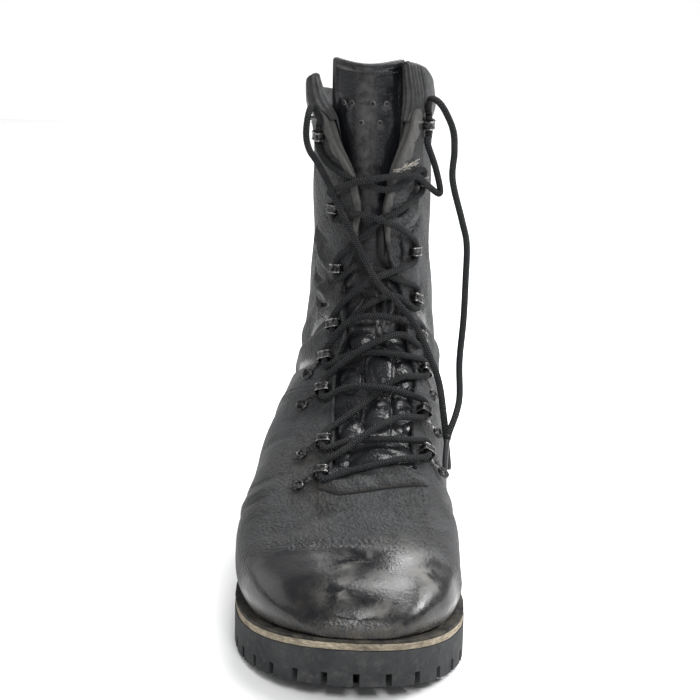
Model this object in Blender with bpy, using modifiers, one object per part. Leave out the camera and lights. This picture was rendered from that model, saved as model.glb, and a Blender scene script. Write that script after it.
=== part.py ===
"""A laced leather combat boot, the right one of a pair, standing on its lugged rubber sole.

Metres, +Z up.  The toe points along -Y and +X is the inner (medial) side of the foot.
The origin is on the ground, under the middle of the outsole's length.
"""
import math

import bmesh
import bpy
import numpy as np
from mathutils import Matrix, Vector

# Driving sizes of the sole
SOLE_LENGTH = 0.310
BALL_WIDTH = 0.1175
HEEL_WIDTH = 0.0855
FOREFOOT_RUBBER = 0.0183
HEEL_RUBBER = 0.0288
TOE_SPRING = 0.0100
SPRING_START = 0.72
SEAT_PLATE = 0.0090
WAIST_PLATE = 0.0090
LUG_DEPTH = 0.0065
LUG_GAP = 0.0032
LUG_REACH = 0.0150
LUG_PITCH = 0.0158
HEEL_BREAST = 0.265
HEEL_FLARE = 0.0006
HEEL_CHANNELS = (0.11, 0.18)
TREAD_START = 0.50
MIDSOLE = 0.0034
WELT = 0.0016
WELT_REACH = 0.0052
INSOLE = 0.0030
INSOLE_CLEARANCE = 0.0012
MIDSOLE_SETBACK = 0.0004
CHANNEL = 0.0045
CHANNEL_ROWS = 6
CHANNEL_START = 0.545
CHANNEL_END = 0.90

# Driving sizes of the upper
UPPER_HEIGHT = 0.238
WALL = 0.0022
CUFF_FULLNESS = 0.0022
LATERAL_WING_DROP = 0.0070
MEDIAL_WING_DROP = 0.0010
RIM_DIP = 0.0070
PAD_FULLNESS = 0.0026
PAD_HALF_HEIGHT = 0.0185
PAD_HALF_WIDTH = 0.0470
PAD_HEIGHT = 0.445
PAD_RIBS = 3
RIB_GROOVE = 0.0012
EYESTAY_WIDTH = 0.0135
EYESTAY_STEP = 0.0009
TONGUE_THICKNESS = 0.0030
TONGUE_TOP_ROW = 24.0
TONGUE_RISE = 0.0175
TONGUE_CURVE = 0.0035
TONGUE_INSET = 0.0035
TONGUE_HALF_WIDTH = 0.0240
TONGUE_CENTRE = 0.0005

# Driving sizes of the hardware and the lace
EYELET_WIDTH = 0.0080
EYELET_HEIGHT = 0.0056
EYELET_LENGTH = 0.0052
EYELET_METAL = 0.0007
TAIL_LENGTH = 0.0110
TAIL_RADIUS = 0.0036
TAIL_WIDTH = 0.0030
TAIL_TURN = 38.0
RIVET_HEIGHT = 0.0012
LACE_DIAMETER = 0.0036
LACE_STEP = 0.0098
LACE_REACH = 0.0062

# Clearance between pieces that touch on the real boot
GAP = 0.0003
WELT_CLEARANCE = 0.0022

# Outline of the outsole, heel to toe: shares of the length, of half the local width, of the ball width
SOLE_OUTLINE = (
    # along, half width, centre shift
    (0.000, 0.000, 0.000),
    (0.020, 0.390, 0.000),
    (0.050, 0.640, 0.000),
    (0.100, 0.875, 0.000),
    (0.160, 0.980, 0.000),
    (0.240, 1.000, 0.000),
    (0.320, 0.905, -0.009),
    (0.400, 0.790, -0.019),
    (0.480, 0.770, -0.029),
    (0.560, 0.850, -0.029),
    (0.630, 0.935, -0.020),
    (0.690, 0.988, -0.010),
    (0.750, 1.000, 0.002),
    (0.810, 0.969, 0.014),
    (0.870, 0.881, 0.024),
    (0.920, 0.750, 0.034),
    (0.960, 0.572, 0.043),
    (0.985, 0.370, 0.055),
    (1.000, 0.000, 0.062),
)

# Sections of the upper, toe to collar.  Each plane runs from a front point on the ridge to a back
# point, which is on the feather edge while the section is open underneath.  Places along the foot
# are shares of the sole length, heights of the upper's height, sideways places of the ball width.
SECTION_NAMES = ("front_y", "front_z", "back_y", "back_z", "ridge", "lateral", "medial", "widest",
                 "square", "bow", "gap_lateral", "gap_medial", "cuts")
SECTIONS = (
    (0.9750, 0.044, 1.000, 0.000, 0.062, -0.062, 0.062, 0.45, 2.2, 0.0165, 0.062, 0.062, 1),
    (0.9710, 0.057, 0.992, 0.000, 0.062, 0.066, 0.181, 0.45, 2.2, 0.0165, 0.010, 0.090, 1),
    (0.9610, 0.080, 0.980, 0.000, 0.060, 0.148, 0.252, 0.48, 2.3, 0.0150, -0.030, 0.130, 1),
    (0.9420, 0.103, 0.962, 0.000, 0.062, 0.232, 0.315, 0.50, 2.4, 0.0115, -0.060, 0.170, 1),
    (0.9130, 0.124, 0.935, 0.000, 0.070, 0.312, 0.374, 0.52, 2.6, 0.0075, -0.085, 0.208, 1),
    (0.8770, 0.141, 0.900, 0.000, 0.081, 0.376, 0.430, 0.54, 2.7, 0.0045, -0.102, 0.247, 2),
    (0.8390, 0.157, 0.860, 0.000, 0.090, 0.428, 0.461, 0.56, 2.8, 0.0020, -0.112, 0.281, 1),
    (0.7940, 0.179, 0.800, 0.000, 0.098, 0.474, 0.482, 0.58, 2.9, 0.0000, -0.120, 0.298, 2),
    (0.7160, 0.224, 0.700, 0.000, 0.098, 0.505, 0.476, 0.58, 2.9, 0.0000, -0.123, 0.315, 2),
    (0.6650, 0.259, 0.600, 0.000, 0.094, 0.502, 0.452, 0.58, 2.7, 0.0000, -0.106, 0.290, 2),
    (0.6030, 0.308, 0.490, 0.000, 0.081, 0.477, 0.424, 0.60, 2.5, 0.0000, -0.102, 0.264, 2),
    (0.5390, 0.363, 0.360, 0.000, 0.064, 0.452, 0.414, 0.60, 2.4, 0.0000, -0.115, 0.260, 2),
    (0.4840, 0.422, 0.220, 0.000, 0.045, 0.414, 0.402, 0.66, 2.3, 0.0000, -0.111, 0.260, 2),
    (0.4516, 0.480, 0.100, 0.000, 0.032, 0.368, 0.392, 0.73, 2.2, 0.0000, -0.072, 0.215, 2),
    (0.4320, 0.528, 0.040, 0.000, 0.024, 0.330, 0.385, 0.72, 2.2, 0.0000, -0.085, 0.195, 1),
    (0.4230, 0.560, 0.010, 0.000, 0.022, 0.320, 0.379, 0.70, 2.1, 0.0000, -0.094, 0.185, 1),
    (0.4160, 0.588, 0.000, 0.000, 0.020, 0.311, 0.373, 0.68, 2.1, 0.0000, -0.090, 0.175, 1),
    (0.4110, 0.617, 0.0148, 0.047, 0.020, 0.300, 0.360, 0.68, 2.1, 0.0000, -0.066, 0.145, 1),
    (0.4080, 0.646, 0.0110, 0.098, 0.020, 0.290, 0.344, 0.65, 2.1, 0.0000, -0.045, 0.122, 2),
    (0.4030, 0.705, 0.0242, 0.249, 0.020, 0.268, 0.322, 0.57, 2.1, 0.0000, -0.028, 0.102, 2),
    (0.4000, 0.745, 0.0419, 0.355, 0.020, 0.253, 0.305, 0.54, 2.1, 0.0000, -0.020, 0.098, 6),
    (0.4000, 0.800, 0.0435, 0.560, 0.020, 0.247, 0.296, 0.50, 2.1, 0.0000, -0.040, 0.115, 2),
    (0.4000, 0.880, 0.0480, 0.720, 0.020, 0.250, 0.292, 0.50, 2.1, 0.0000, -0.110, 0.160, 1),
    (0.4000, 0.945, 0.0500, 0.866, 0.020, 0.258, 0.294, 0.50, 2.1, 0.0000, -0.175, 0.205, 1),
    (0.4000, 1.005, 0.0450, 0.908, 0.020, 0.276, 0.297, 0.50, 2.1, 0.0000, -0.225, 0.208, 1),
    (0.4000, 1.080, 0.0400, 0.946, 0.020, 0.300, 0.303, 0.50, 2.1, 0.0000, -0.262, 0.200, 0),
)
THROAT_ROW = 8
CLOSED_ROW = 16
CUFF_ROW = 23
EYESTAY_ROW = 12.5

# Eyelet pairs, bottom to top: section places, then shares of the eyestay band from the throat
EYELETS = (
    # lateral row, medial row, lateral share, medial share
    (8.75, 9.80, 0.22, 0.42),
    (9.80, 11.00, 0.28, 0.30),
    (11.30, 12.30, 0.32, 0.45),
    (12.25, 13.60, 0.36, 0.85),
    (13.40, 16.20, 0.34, 0.62),
    (17.40, 18.80, 0.26, 0.74),
    (20.33, 21.40, 0.48, 0.74),
    (22.50, 22.90, 0.38, 0.52),
)
TAILED_PAIRS = 4

# Free ends of the lace: points along each after it has left the top eyelet, metres, chosen by hand
LATERAL_END = (
    (-0.0290, 0.0400, 0.2585),
    (-0.0310, 0.0340, 0.2540),
    (-0.0318, 0.0330, 0.2440),
    (-0.0300, 0.0330, 0.2360),
    (-0.0256, 0.0340, 0.2290),
    (-0.0200, 0.0330, 0.2190),
    (-0.0143, 0.0245, 0.2095),
    (-0.0030, 0.0190, 0.1885),
    (0.0086, 0.0110, 0.1695),
    (0.0190, 0.0070, 0.1600),
    (0.0297, 0.0020, 0.1485),
    (0.0375, -0.0040, 0.1340),
    (0.0434, -0.0085, 0.1195),
    (0.0465, -0.0150, 0.1025),
    (0.0485, -0.0210, 0.0885),
    (0.0500, -0.0250, 0.0765),
)
MEDIAL_END = (
    (0.0345, 0.0400, 0.2640),
    (0.0385, 0.0310, 0.2640),
    (0.0425, 0.0300, 0.2590),
    (0.0470, 0.0290, 0.2490),
    (0.0480, 0.0270, 0.2380),
    (0.0475, 0.0240, 0.2230),
    (0.0530, 0.0200, 0.2025),
    (0.0560, 0.0160, 0.1900),
    (0.0560, 0.0120, 0.1715),
    (0.0555, 0.0070, 0.1505),
    (0.0540, 0.0010, 0.1295),
    (0.0545, -0.0080, 0.1125),
    (0.0527, -0.0160, 0.1045),
    (0.0490, -0.0230, 0.0950),
    (0.0478, -0.0270, 0.0850),
    (0.0477, -0.0290, 0.0770),
)


def monotone(xs, ys, x):
    """Smooth interpolation through a table's rows that never overshoots them."""
    xs = np.asarray(xs, float)
    ys = np.asarray(ys, float)
    step = np.diff(xs)
    slope = np.diff(ys) / step
    tangent = np.zeros(len(xs))
    tangent[0] = slope[0]
    tangent[-1] = slope[-1]
    for i in range(1, len(xs) - 1):
        if slope[i - 1] * slope[i] > 0.0:
            a = 2.0 * step[i] + step[i - 1]
            b = step[i] + 2.0 * step[i - 1]
            tangent[i] = (a + b) / (a / slope[i - 1] + b / slope[i])
    x = np.clip(x, xs[0], xs[-1])
    k = np.clip(np.searchsorted(xs, x, side="right") - 1, 0, len(xs) - 2)
    u = (x - xs[k]) / step[k]
    rise = (3.0 - 2.0 * u) * u * u
    return (ys[k] * (1.0 - rise) + ys[k + 1] * rise
            + step[k] * u * (1.0 - u) * (tangent[k] * (1.0 - u) - tangent[k + 1] * u))


def ramp(x, low, high):
    """0 below low, 1 above high, smooth between."""
    u = np.clip((x - low) / (high - low), 0.0, 1.0)
    return u * u * (3.0 - 2.0 * u)


def along(y):
    """Share of the sole's length from the heel, for a place on the Y axis."""
    return 0.5 - y / SOLE_LENGTH


def place_y(share):
    return (0.5 - share) * SOLE_LENGTH


# Sole: outline and levels

def outline(share, inset):
    """Lateral and medial edge of the sole (x) and their y, at a share along the inset outline."""
    local = HEEL_WIDTH + (BALL_WIDTH - HEEL_WIDTH) * ramp(share, 0.28, 0.62)
    names = list(zip(*SOLE_OUTLINE))
    squared = monotone(names[0], np.square(names[1]), share)
    half = np.sqrt(np.maximum(squared, 0.0)) * (local / 2.0 - inset)
    centre = monotone(names[0], names[2], share) * BALL_WIDTH
    y = SOLE_LENGTH / 2.0 - inset - share * (SOLE_LENGTH - 2.0 * inset)
    return centre - half, centre + half, y


def ground(y):
    """Height of the tread's lowest face: flat, then rising in the toe spring."""
    rise = np.clip((along(y) - SPRING_START) / (1.0 - SPRING_START), 0.0, 1.0)
    return TOE_SPRING * rise * rise


def rubber_top(y):
    ramped = np.clip((along(y) - 0.25) / 0.30, 0.0, 1.0)
    return HEEL_RUBBER + (FOREFOOT_RUBBER - HEEL_RUBBER) * ramped + ground(y)


def plate_bottom(y):
    """Underside of the outsole's plate, above the lugs and over the arch."""
    share = along(y)
    front = FOREFOOT_RUBBER - LUG_DEPTH
    thick = SEAT_PLATE + (WAIST_PLATE - SEAT_PLATE) * ramp(share, 0.25, 0.35)
    thick = thick + (front - thick) * ramp(share, 0.46, 0.53)
    return rubber_top(y) - thick


def midsole_top(y):
    return rubber_top(y) + GAP + MIDSOLE


def feather(y):
    """Height where the upper's lower edge stands."""
    return midsole_top(y) + GAP


def outline_shares(count, start=0.0, end=1.0):
    """Shares along the sole, close together at a round end."""
    full = 0.5 - 0.5 * np.cos(np.linspace(0.0, math.pi, count))
    inner = full[(full > start) & (full < end)]
    return np.concatenate([[start], inner, [end]])


# Meshes

COLLECTION = None
CUTTERS = None


def new_object(name, mesh, material, collection=None):
    mesh.materials.append(material)
    item = bpy.data.objects.new(name, mesh)
    (collection or COLLECTION).objects.link(item)
    return item


def mesh_from(name, points, faces):
    bm = bmesh.new()
    made = [bm.verts.new(p) for p in points]
    for face in faces:
        bm.faces.new([made[i] for i in face])
    bmesh.ops.remove_doubles(bm, verts=bm.verts, dist=1e-6)
    bmesh.ops.dissolve_degenerate(bm, edges=bm.edges, dist=1e-6)
    bmesh.ops.recalc_face_normals(bm, faces=bm.faces)
    mesh = bpy.data.meshes.new(name)
    bm.to_mesh(mesh)
    bm.free()
    return mesh


def soften(item, angle=35.0):
    item.data.shade_smooth()
    item.data.set_sharp_from_angle(angle=math.radians(angle))


def slab(name, inset, bottom, top, material, start=0.0, end=1.0, count=41, collection=None):
    """A layer of the sole between two level functions, lofted from heel to toe."""
    points = []
    shares = outline_shares(count, start, end)
    for share in shares:
        left, right, y = outline(share, inset)
        for x, level in ((left, top), (right, top), (right, bottom), (left, bottom)):
            points.append((x, y, float(level(y))))
    faces = []
    for i in range(len(shares) - 1):
        for k in range(4):
            n = (k + 1) % 4
            faces.append((4 * i + k, 4 * i + n, 4 * i + 4 + n, 4 * i + 4 + k))
    last = 4 * (len(shares) - 1)
    faces.append((0, 1, 2, 3))
    faces.append((last, last + 1, last + 2, last + 3))
    return new_object(name, mesh_from(name, points, faces), material, collection)


def ring(name, outer, inner, bottom, top, material, count=31):
    """A strip that follows the sole's outline, such as the welt."""
    loop = []
    shares = outline_shares(count)
    for inset in (outer, inner):
        left = [outline(s, inset)[::2] for s in shares]
        right = [outline(s, inset)[1:] for s in shares[-2:0:-1]]
        loop.append(left + right)
    points = []
    for a, b in zip(*loop):
        points += [(a[0], a[1], bottom(a[1])), (a[0], a[1], top(a[1])),
                   (b[0], b[1], top(b[1])), (b[0], b[1], bottom(b[1]))]
    total = len(loop[0])
    faces = []
    for i in range(total):
        j = (i + 1) % total
        for k in range(4):
            n = (k + 1) % 4
            faces.append((4 * i + k, 4 * i + n, 4 * j + n, 4 * j + k))
    return new_object(name, mesh_from(name, points, faces), material)


def block(name, size, matrix, material, collection=None):
    mesh = bpy.data.meshes.new(name)
    bm = bmesh.new()
    bmesh.ops.create_cube(bm, size=1.0)
    bmesh.ops.scale(bm, vec=size, verts=bm.verts)
    bmesh.ops.transform(bm, matrix=matrix, verts=bm.verts)
    bm.to_mesh(mesh)
    bm.free()
    return new_object(name, mesh, material, collection)


def combine(item, other, operation, overlapping=False):
    modifier = item.modifiers.new(operation.lower(), "BOOLEAN")
    modifier.operation = operation
    modifier.solver = "EXACT"
    modifier.use_self = overlapping
    modifier.object = other
    other.hide_render = True
    other.display_type = "WIRE"


def joined_cutters(name, items, material):
    """One mesh of many separate cutter bodies."""
    bm = bmesh.new()
    for item in items:
        bm.from_mesh(item.data)
        bpy.data.objects.remove(item)
    mesh = bpy.data.meshes.new(name)
    bm.to_mesh(mesh)
    bm.free()
    return new_object(name, mesh, material, CUTTERS)


# Sole pieces

def edge_frame(share, side):
    """Place and inward direction on the sole's edge: side -1 is lateral, 1 is medial."""
    pick = 0 if side < 0 else 1
    step = 0.004
    here = outline(share, 0.0)
    before = outline(max(share - step, 0.0), 0.0)
    after = outline(min(share + step, 1.0), 0.0)
    tangent = Vector((after[pick] - before[pick], after[2] - before[2], 0.0)).normalized()
    inward = Vector((-tangent.y, tangent.x, 0.0)) * -side
    return Vector((here[pick], here[2], 0.0)), inward


def notch(share, side, depth, material, width=LUG_GAP, reach=LUG_REACH):
    """A cutter for one gap between two lugs, standing across the sole's edge."""
    point, inward = edge_frame(share, side)
    turn = math.atan2(inward.y, inward.x)
    out = 0.004
    centre = point + inward * (reach - out) / 2.0
    low = float(ground(point.y))
    centre.z = low - 0.002 + (depth + 0.002) / 2.0
    size = (reach + out, width, depth + 0.002)
    matrix = Matrix.Translation(centre) @ Matrix.Rotation(turn, 4, "Z")
    return block("notch", size, matrix, material, CUTTERS)


def notch_shares(side, start, end, first):
    """Shares of the length for gaps one pitch apart along the sole's edge, from a tip."""
    shares = np.linspace(start, end, 400)
    pick = 0 if side < 0 else 1
    places = [outline(share, 0.0) for share in shares]
    walk = arc_lengths(np.array([(p[pick], p[2]) for p in places]))
    wanted = np.arange(first, walk[-1], LUG_PITCH)
    return [float(np.interp(w, walk, shares)) for w in wanted]


def tread_bars(material):
    """Cutters for the open channels of the forefoot tread, inside the edge lugs."""
    cutters = []
    for share in np.linspace(CHANNEL_START, CHANNEL_END, CHANNEL_ROWS):
        left, right, y = outline(share, LUG_REACH)
        low = float(ground(y))
        size = (right - left, CHANNEL, LUG_DEPTH + 0.004)
        matrix = Matrix.Translation(((left + right) / 2.0, y, low - 0.004 + (LUG_DEPTH + 0.004) / 2.0))
        cutters.append(block("channel", size, matrix, material, CUTTERS))
    return cutters


def make_outsole(rubber):
    tread = slab("outsole", 0.0, tread_level, rubber_top, rubber)
    cutters = []
    for side in (-1, 1):
        for share in notch_shares(side, 1.0, TREAD_START + 0.03, LUG_PITCH if side < 0 else 0.0):
            cutters.append(notch(share, side, LUG_DEPTH, rubber))
    cutters += tread_bars(rubber)
    combine(tread, joined_cutters("tread_cutters", cutters, rubber), "DIFFERENCE", True)
    return tread


def tread_level(y):
    """Underside of the outsole: the plate under heel and arch, the lugs' faces under the forefoot."""
    share = along(y)
    under = plate_bottom(y)
    return under + (ground(y) - under) * ramp(share, TREAD_START - 0.004, TREAD_START + 0.012)


def make_heel(rubber):
    def heel_top(y):
        return plate_bottom(y) - GAP

    heel = slab("heel", -HEEL_FLARE, lambda y: 0.0, heel_top, rubber, 0.0, HEEL_BREAST, 45)
    cutters = []
    for side in (-1, 1):
        for share in notch_shares(side, 0.0, HEEL_BREAST - 0.02, LUG_PITCH * 0.55):
            cutters.append(notch(share, side, LUG_DEPTH, rubber))
    size = (HEEL_WIDTH * 0.5, CHANNEL, LUG_DEPTH + 0.004)
    for share in HEEL_CHANNELS:
        matrix = Matrix.Translation((0.0, place_y(share), LUG_DEPTH / 2.0 - 0.002))
        cutters.append(block("bar", size, matrix, rubber, CUTTERS))
    combine(heel, joined_cutters("heel_cutters", cutters, rubber), "DIFFERENCE", True)
    return heel


# Upper: one function gives every point of its outer skin

def section(row):
    """The values of the section table at a fractional row number."""
    values = []
    numbers = range(len(SECTIONS))
    columns = list(zip(*SECTIONS))
    for column in columns[:-1]:
        values.append(float(monotone(numbers, column, row)))
    return dict(zip(SECTION_NAMES, values))


def half_section(row, side, samples=40):
    """Points from the ridge to the back or feather edge, on one side, as an array."""
    s = section(row)
    inset = WELT_REACH + WELT_CLEARANCE
    front_y = place_y(s["front_y"])
    front = np.array([0.0, front_y, float(feather(front_y)) + s["front_z"] * UPPER_HEIGHT])
    ridge = s["ridge"] * BALL_WIDTH
    wide = (s["lateral"] if side < 0 else s["medial"]) * BALL_WIDTH * side
    if row <= CLOSED_ROW:
        left, right, back_y = outline(s["back_y"], inset)
        edge = left if side < 0 else right
        back_z = float(feather(back_y))
    else:
        opened = outline(0.0, inset)[2]
        settle = ramp(row, CLOSED_ROW, CLOSED_ROW + 1.0)
        back_y = opened + (place_y(s["back_y"]) - opened) * settle
        edge = 0.0
        back_z = float(feather(back_y)) + s["back_z"] * UPPER_HEIGHT
    back = np.array([0.0, back_y, back_z])
    power = 2.0 / s["square"]
    turn = np.linspace(0.0, math.pi / 2.0, samples // 2 + 1)
    chord_front = s["widest"] * (1.0 - np.cos(turn) ** power)
    x_front = ridge + (wide - ridge) * np.sin(turn) ** power
    u = np.sin(turn[1:])
    tuck = 1.0 - u * u * (3.0 - 2.0 * u)
    rounded = np.cos(turn[1:])
    closing = np.clip((wide - edge) / wide * 1.5 - 0.4, 0.0, 1.0) if wide != 0.0 else 0.0
    x_back = edge + (wide - edge) * (tuck + (rounded - tuck) * closing)
    chord_back = s["widest"] + (1.0 - s["widest"]) * u
    chord = np.concatenate([chord_front, chord_back])
    x = np.concatenate([x_front, x_back])
    points = front + chord[:, None] * (back - front)
    points[:, 0] = x
    points[:, 1] -= s["bow"] * SOLE_LENGTH * np.sin(np.pi * chord) ** 2
    return points


def arc_lengths(points):
    steps = np.linalg.norm(np.diff(points, axis=0), axis=1)
    return np.concatenate([[0.0], np.cumsum(steps)])


def at_arc(points, lengths, wanted):
    return np.array([np.interp(wanted, lengths, points[:, k]) for k in range(3)]).T


def gap_arc(row, side, points, lengths):
    """Distance from the ridge to the throat's edge, along the section."""
    s = section(row)
    target = (s["gap_lateral"] if side < 0 else s["gap_medial"]) * BALL_WIDTH * side
    half = len(points) // 2 + 1
    return float(np.interp(target, points[:half, 0] * side, lengths[:half]))


INNER_COLUMNS = 3
OUTER_COLUMNS = 12


def eyestay_band(row):
    """Width of the eyestay, wider on the shaft than on the instep."""
    return EYESTAY_WIDTH * (1.0 + 1.10 * float(ramp(row, 14.0, 19.0)))


def column_arcs(row, side, points, lengths):
    """Where the mesh columns lie: three to the throat's edge, the eyestay band, then the rest."""
    start = gap_arc(row, side, points, lengths)
    total = lengths[-1]
    band = min(eyestay_band(row), 0.3 * (total - start))
    inner = [start * k / INNER_COLUMNS for k in range(INNER_COLUMNS)]
    eyestay = [start, start + band * 0.5, start + band - 0.0006, start + band + 0.0006]
    count = OUTER_COLUMNS - 3
    rest = [start + band + (total - start - band) * k / count for k in range(1, count + 1)]
    return np.array(inner + eyestay + rest)


def pad_relief(points):
    """Height of the padded, ribbed ankle cushion at the back, over the plain skin."""
    z = points[:, 2]
    y = points[:, 1]
    x = points[:, 0]
    level = feather(0.0) + PAD_HEIGHT * UPPER_HEIGHT
    back = SOLE_LENGTH / 2.0 - 0.012
    around = np.abs(x) + np.clip(back - y, 0.0, None) * 0.62
    tall = (z - level) / PAD_HALF_HEIGHT
    wide = around / PAD_HALF_WIDTH
    inside = 1.0 - (np.abs(tall) ** 2.6 + np.abs(wide) ** 2.6)
    swell = ramp(inside, 0.0, 0.45)
    rib = np.abs(np.sin(np.pi * PAD_RIBS * np.clip((tall + 1.0) / 2.0, 0.0, 1.0)))
    groove = RIB_GROOVE * (1.0 - rib) * ramp(inside, 0.1, 0.5)
    return PAD_FULLNESS * swell - groove


def cuff_relief(row, points):
    """The cuff's soft fullness above its seam, rolled in at the top."""
    top = len(SECTIONS) - 1.0
    share = np.clip((row - CUFF_ROW) / (top - CUFF_ROW), 0.0, 1.0)
    return np.full(len(points), CUFF_FULLNESS * math.sin(math.pi * share ** 0.8) - 0.0004 * (share > 0.0))


def eyestay_relief(row, arcs, start):
    if row < EYESTAY_ROW or row > CUFF_ROW:
        return np.zeros(len(arcs))
    inside = (arcs >= start - 1e-6) & (arcs <= start + eyestay_band(row))
    return EYESTAY_STEP * inside


def skin_row(row, side):
    points = half_section(row, side)
    lengths = arc_lengths(points)
    arcs = column_arcs(row, side, points, lengths)
    start = gap_arc(row, side, points, lengths)
    return at_arc(points, lengths, arcs), arcs, start


def skin_rows():
    """Fractional row numbers of every section of the mesh."""
    rows = []
    for k, values in enumerate(SECTIONS[:-1]):
        cuts = values[-1]
        rows += [k + c / cuts for c in range(cuts)]
    return rows + [len(SECTIONS) - 1.0]


def rim_drop(row, side, column):
    """How far the cuff's rim falls: at the lateral front end, and softly along both sides."""
    top = len(SECTIONS) - 1.0
    share = ramp(row, CUFF_ROW, top)
    front = 1.0 - ramp(column, INNER_COLUMNS + 2.0, INNER_COLUMNS + 8.0)
    flank = math.sin(math.pi * np.clip((column - INNER_COLUMNS - 2.0) / (OUTER_COLUMNS - 1.0), 0.0, 1.0))
    drop = LATERAL_WING_DROP if side < 0 else MEDIAL_WING_DROP
    return share * (drop * front + RIM_DIP * flank)


def skin_grid():
    """Outer skin as rows x columns for each side, with its reliefs."""
    rows = skin_rows()
    grid = {}
    for side in (-1, 1):
        plain = [skin_row(row, side) for row in rows]
        base = np.array([p[0] for p in plain])
        moved = base.copy()
        for i, row in enumerate(rows):
            before = base[max(i - 1, 0)]
            after = base[min(i + 1, len(rows) - 1)]
            up = after - before
            along_row = np.gradient(base[i], axis=0)
            normal = np.cross(along_row, up)
            size = np.linalg.norm(normal, axis=1)
            normal = normal / np.maximum(size, 1e-9)[:, None]
            if side > 0:
                normal = -normal
            relief = pad_relief(base[i]) * (row > CLOSED_ROW) + cuff_relief(row, base[i])
            relief = relief + eyestay_relief(row, plain[i][1], plain[i][2])
            normal[np.abs(base[i][:, 0]) < 1e-7, 0] = 0.0
            moved[i] = base[i] - normal * relief[:, None] * outward_sign(base[i], normal)[:, None]
            for c in range(moved.shape[1]):
                moved[i][c, 2] -= rim_drop(row, side, c)
        grid[side] = moved
    return rows, grid


def outward_sign(points, normal):
    """-1 where the normal points away from the boot's middle line, 1 where it points in."""
    middle = np.array([0.0, 0.06, 0.0])
    away = points - middle
    away[:, 2] = 0.0
    flat = normal.copy()
    flat[:, 2] *= 0.2
    return -np.sign(np.sum(away * flat, axis=1) + 1e-12)


def make_upper(leather):
    rows, grid = skin_grid()
    columns = grid[-1].shape[1]
    points = []
    index = {}
    for side in (-1, 1):
        for i in range(len(rows)):
            for c in range(columns):
                index[side, i, c] = len(points)
                points.append(tuple(grid[side][i, c]))
    faces = []
    for side in (-1, 1):
        for i in range(len(rows) - 1):
            for c in range(columns - 1):
                if rows[i] >= THROAT_ROW and c < INNER_COLUMNS:
                    continue
                face = (index[side, i, c], index[side, i, c + 1],
                        index[side, i + 1, c + 1], index[side, i + 1, c])
                faces.append(face if side > 0 else face[::-1])
    mesh = mesh_from("upper", points, faces)
    upper = new_object("upper", mesh, leather)
    loose = bmesh.new()
    loose.from_mesh(mesh)
    bmesh.ops.delete(loose, geom=[v for v in loose.verts if not v.link_faces], context="VERTS")
    bmesh.ops.triangulate(loose, faces=loose.faces)
    bmesh.ops.recalc_face_normals(loose, faces=loose.faces)
    loose.to_mesh(mesh)
    loose.free()
    thick = upper.modifiers.new("wall", "SOLIDIFY")
    thick.thickness = WALL
    thick.offset = -1.0
    thick.use_even_offset = False
    soften(upper, 50.0)
    return upper


# Places on the skin, for the tongue, the eyelets and the lace

def skin_point(row, x):
    """A point of the plain skin at a section and a sideways place, between the widest points."""
    ridge = section(row)["ridge"] * BALL_WIDTH
    side = -1 if x < ridge else 1
    points = half_section(row, side)
    half = len(points) // 2 + 1
    return np.array([np.interp(x * side, points[:half, 0] * side, points[:half, k]) for k in range(3)])


def skin_frame(row, x):
    """Point, outward normal and upward direction on the plain skin."""
    here = skin_point(row, x)
    up = skin_point(min(row + 0.15, len(SECTIONS) - 1.0), x) - skin_point(row - 0.15, x)
    across = skin_point(row, x + 0.001) - skin_point(row, x - 0.001)
    normal = Vector(np.cross(across, up)).normalized()
    if normal.y > 0.0 and normal.z < 0.3:
        normal = -normal
    if normal.z < 0.0 and row < CLOSED_ROW:
        normal = -normal
    return Vector(here), normal, Vector(up).normalized()


def make_tongue(leather):
    """A padded tongue under the throat, from inside the vamp to above the collar."""
    start = THROAT_ROW - 0.6
    rows = np.concatenate([np.linspace(start, 16.0, 15), np.linspace(16.8, TONGUE_TOP_ROW, 11)])
    columns = 9
    depth = WALL + 0.0006
    points = []
    for row in rows:
        s = section(row)
        lean = ramp(row, 17.0, TONGUE_TOP_ROW)
        low = s["gap_lateral"] * (1.0 - lean) + (TONGUE_CENTRE - TONGUE_HALF_WIDTH) / BALL_WIDTH * lean
        high = s["gap_medial"] * (1.0 - lean) + (TONGUE_CENTRE + TONGUE_HALF_WIDTH) / BALL_WIDTH * lean
        margin = 0.055 * (1.0 - lean)
        for u in np.linspace(low - margin, high + margin, columns):
            point, normal, up = skin_frame(row, u * BALL_WIDTH)
            points.append(tuple(point - normal * (depth + TONGUE_INSET * lean)))
    for k in range(columns):
        bend = abs(2.0 * k / (columns - 1) - 1.0)
        last = Vector(points[(len(rows) - 1) * columns + k])
        points.append(tuple(last + Vector((0.0, 0.0, TONGUE_RISE - TONGUE_CURVE * (1.0 - bend ** 2)))))
    total = len(rows) + 1
    faces = []
    for i in range(total - 1):
        for c in range(columns - 1):
            a = i * columns + c
            faces.append((a, a + 1, a + 1 + columns, a + columns))
    mesh = mesh_from("tongue", points, faces)
    if sum(face.normal.y * face.area for face in mesh.polygons) > 0.0:
        mesh.flip_normals()
    tongue = new_object("tongue", mesh, leather)
    thick = tongue.modifiers.new("padding", "SOLIDIFY")
    thick.thickness = TONGUE_THICKNESS
    thick.offset = -1.0
    thick.use_even_offset = False
    soften(tongue, 50.0)
    return tongue


# Hardware

def eyelet_place(pair, side):
    lateral, medial, lateral_share, medial_share = EYELETS[pair]
    row = lateral if side < 0 else medial
    share = lateral_share if side < 0 else medial_share
    points = half_section(row, side)
    lengths = arc_lengths(points)
    arc = gap_arc(row, side, points, lengths) + eyestay_band(row) * share
    x = float(at_arc(points, lengths, np.array([arc]))[0, 0])
    return skin_frame(row, x)


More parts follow.
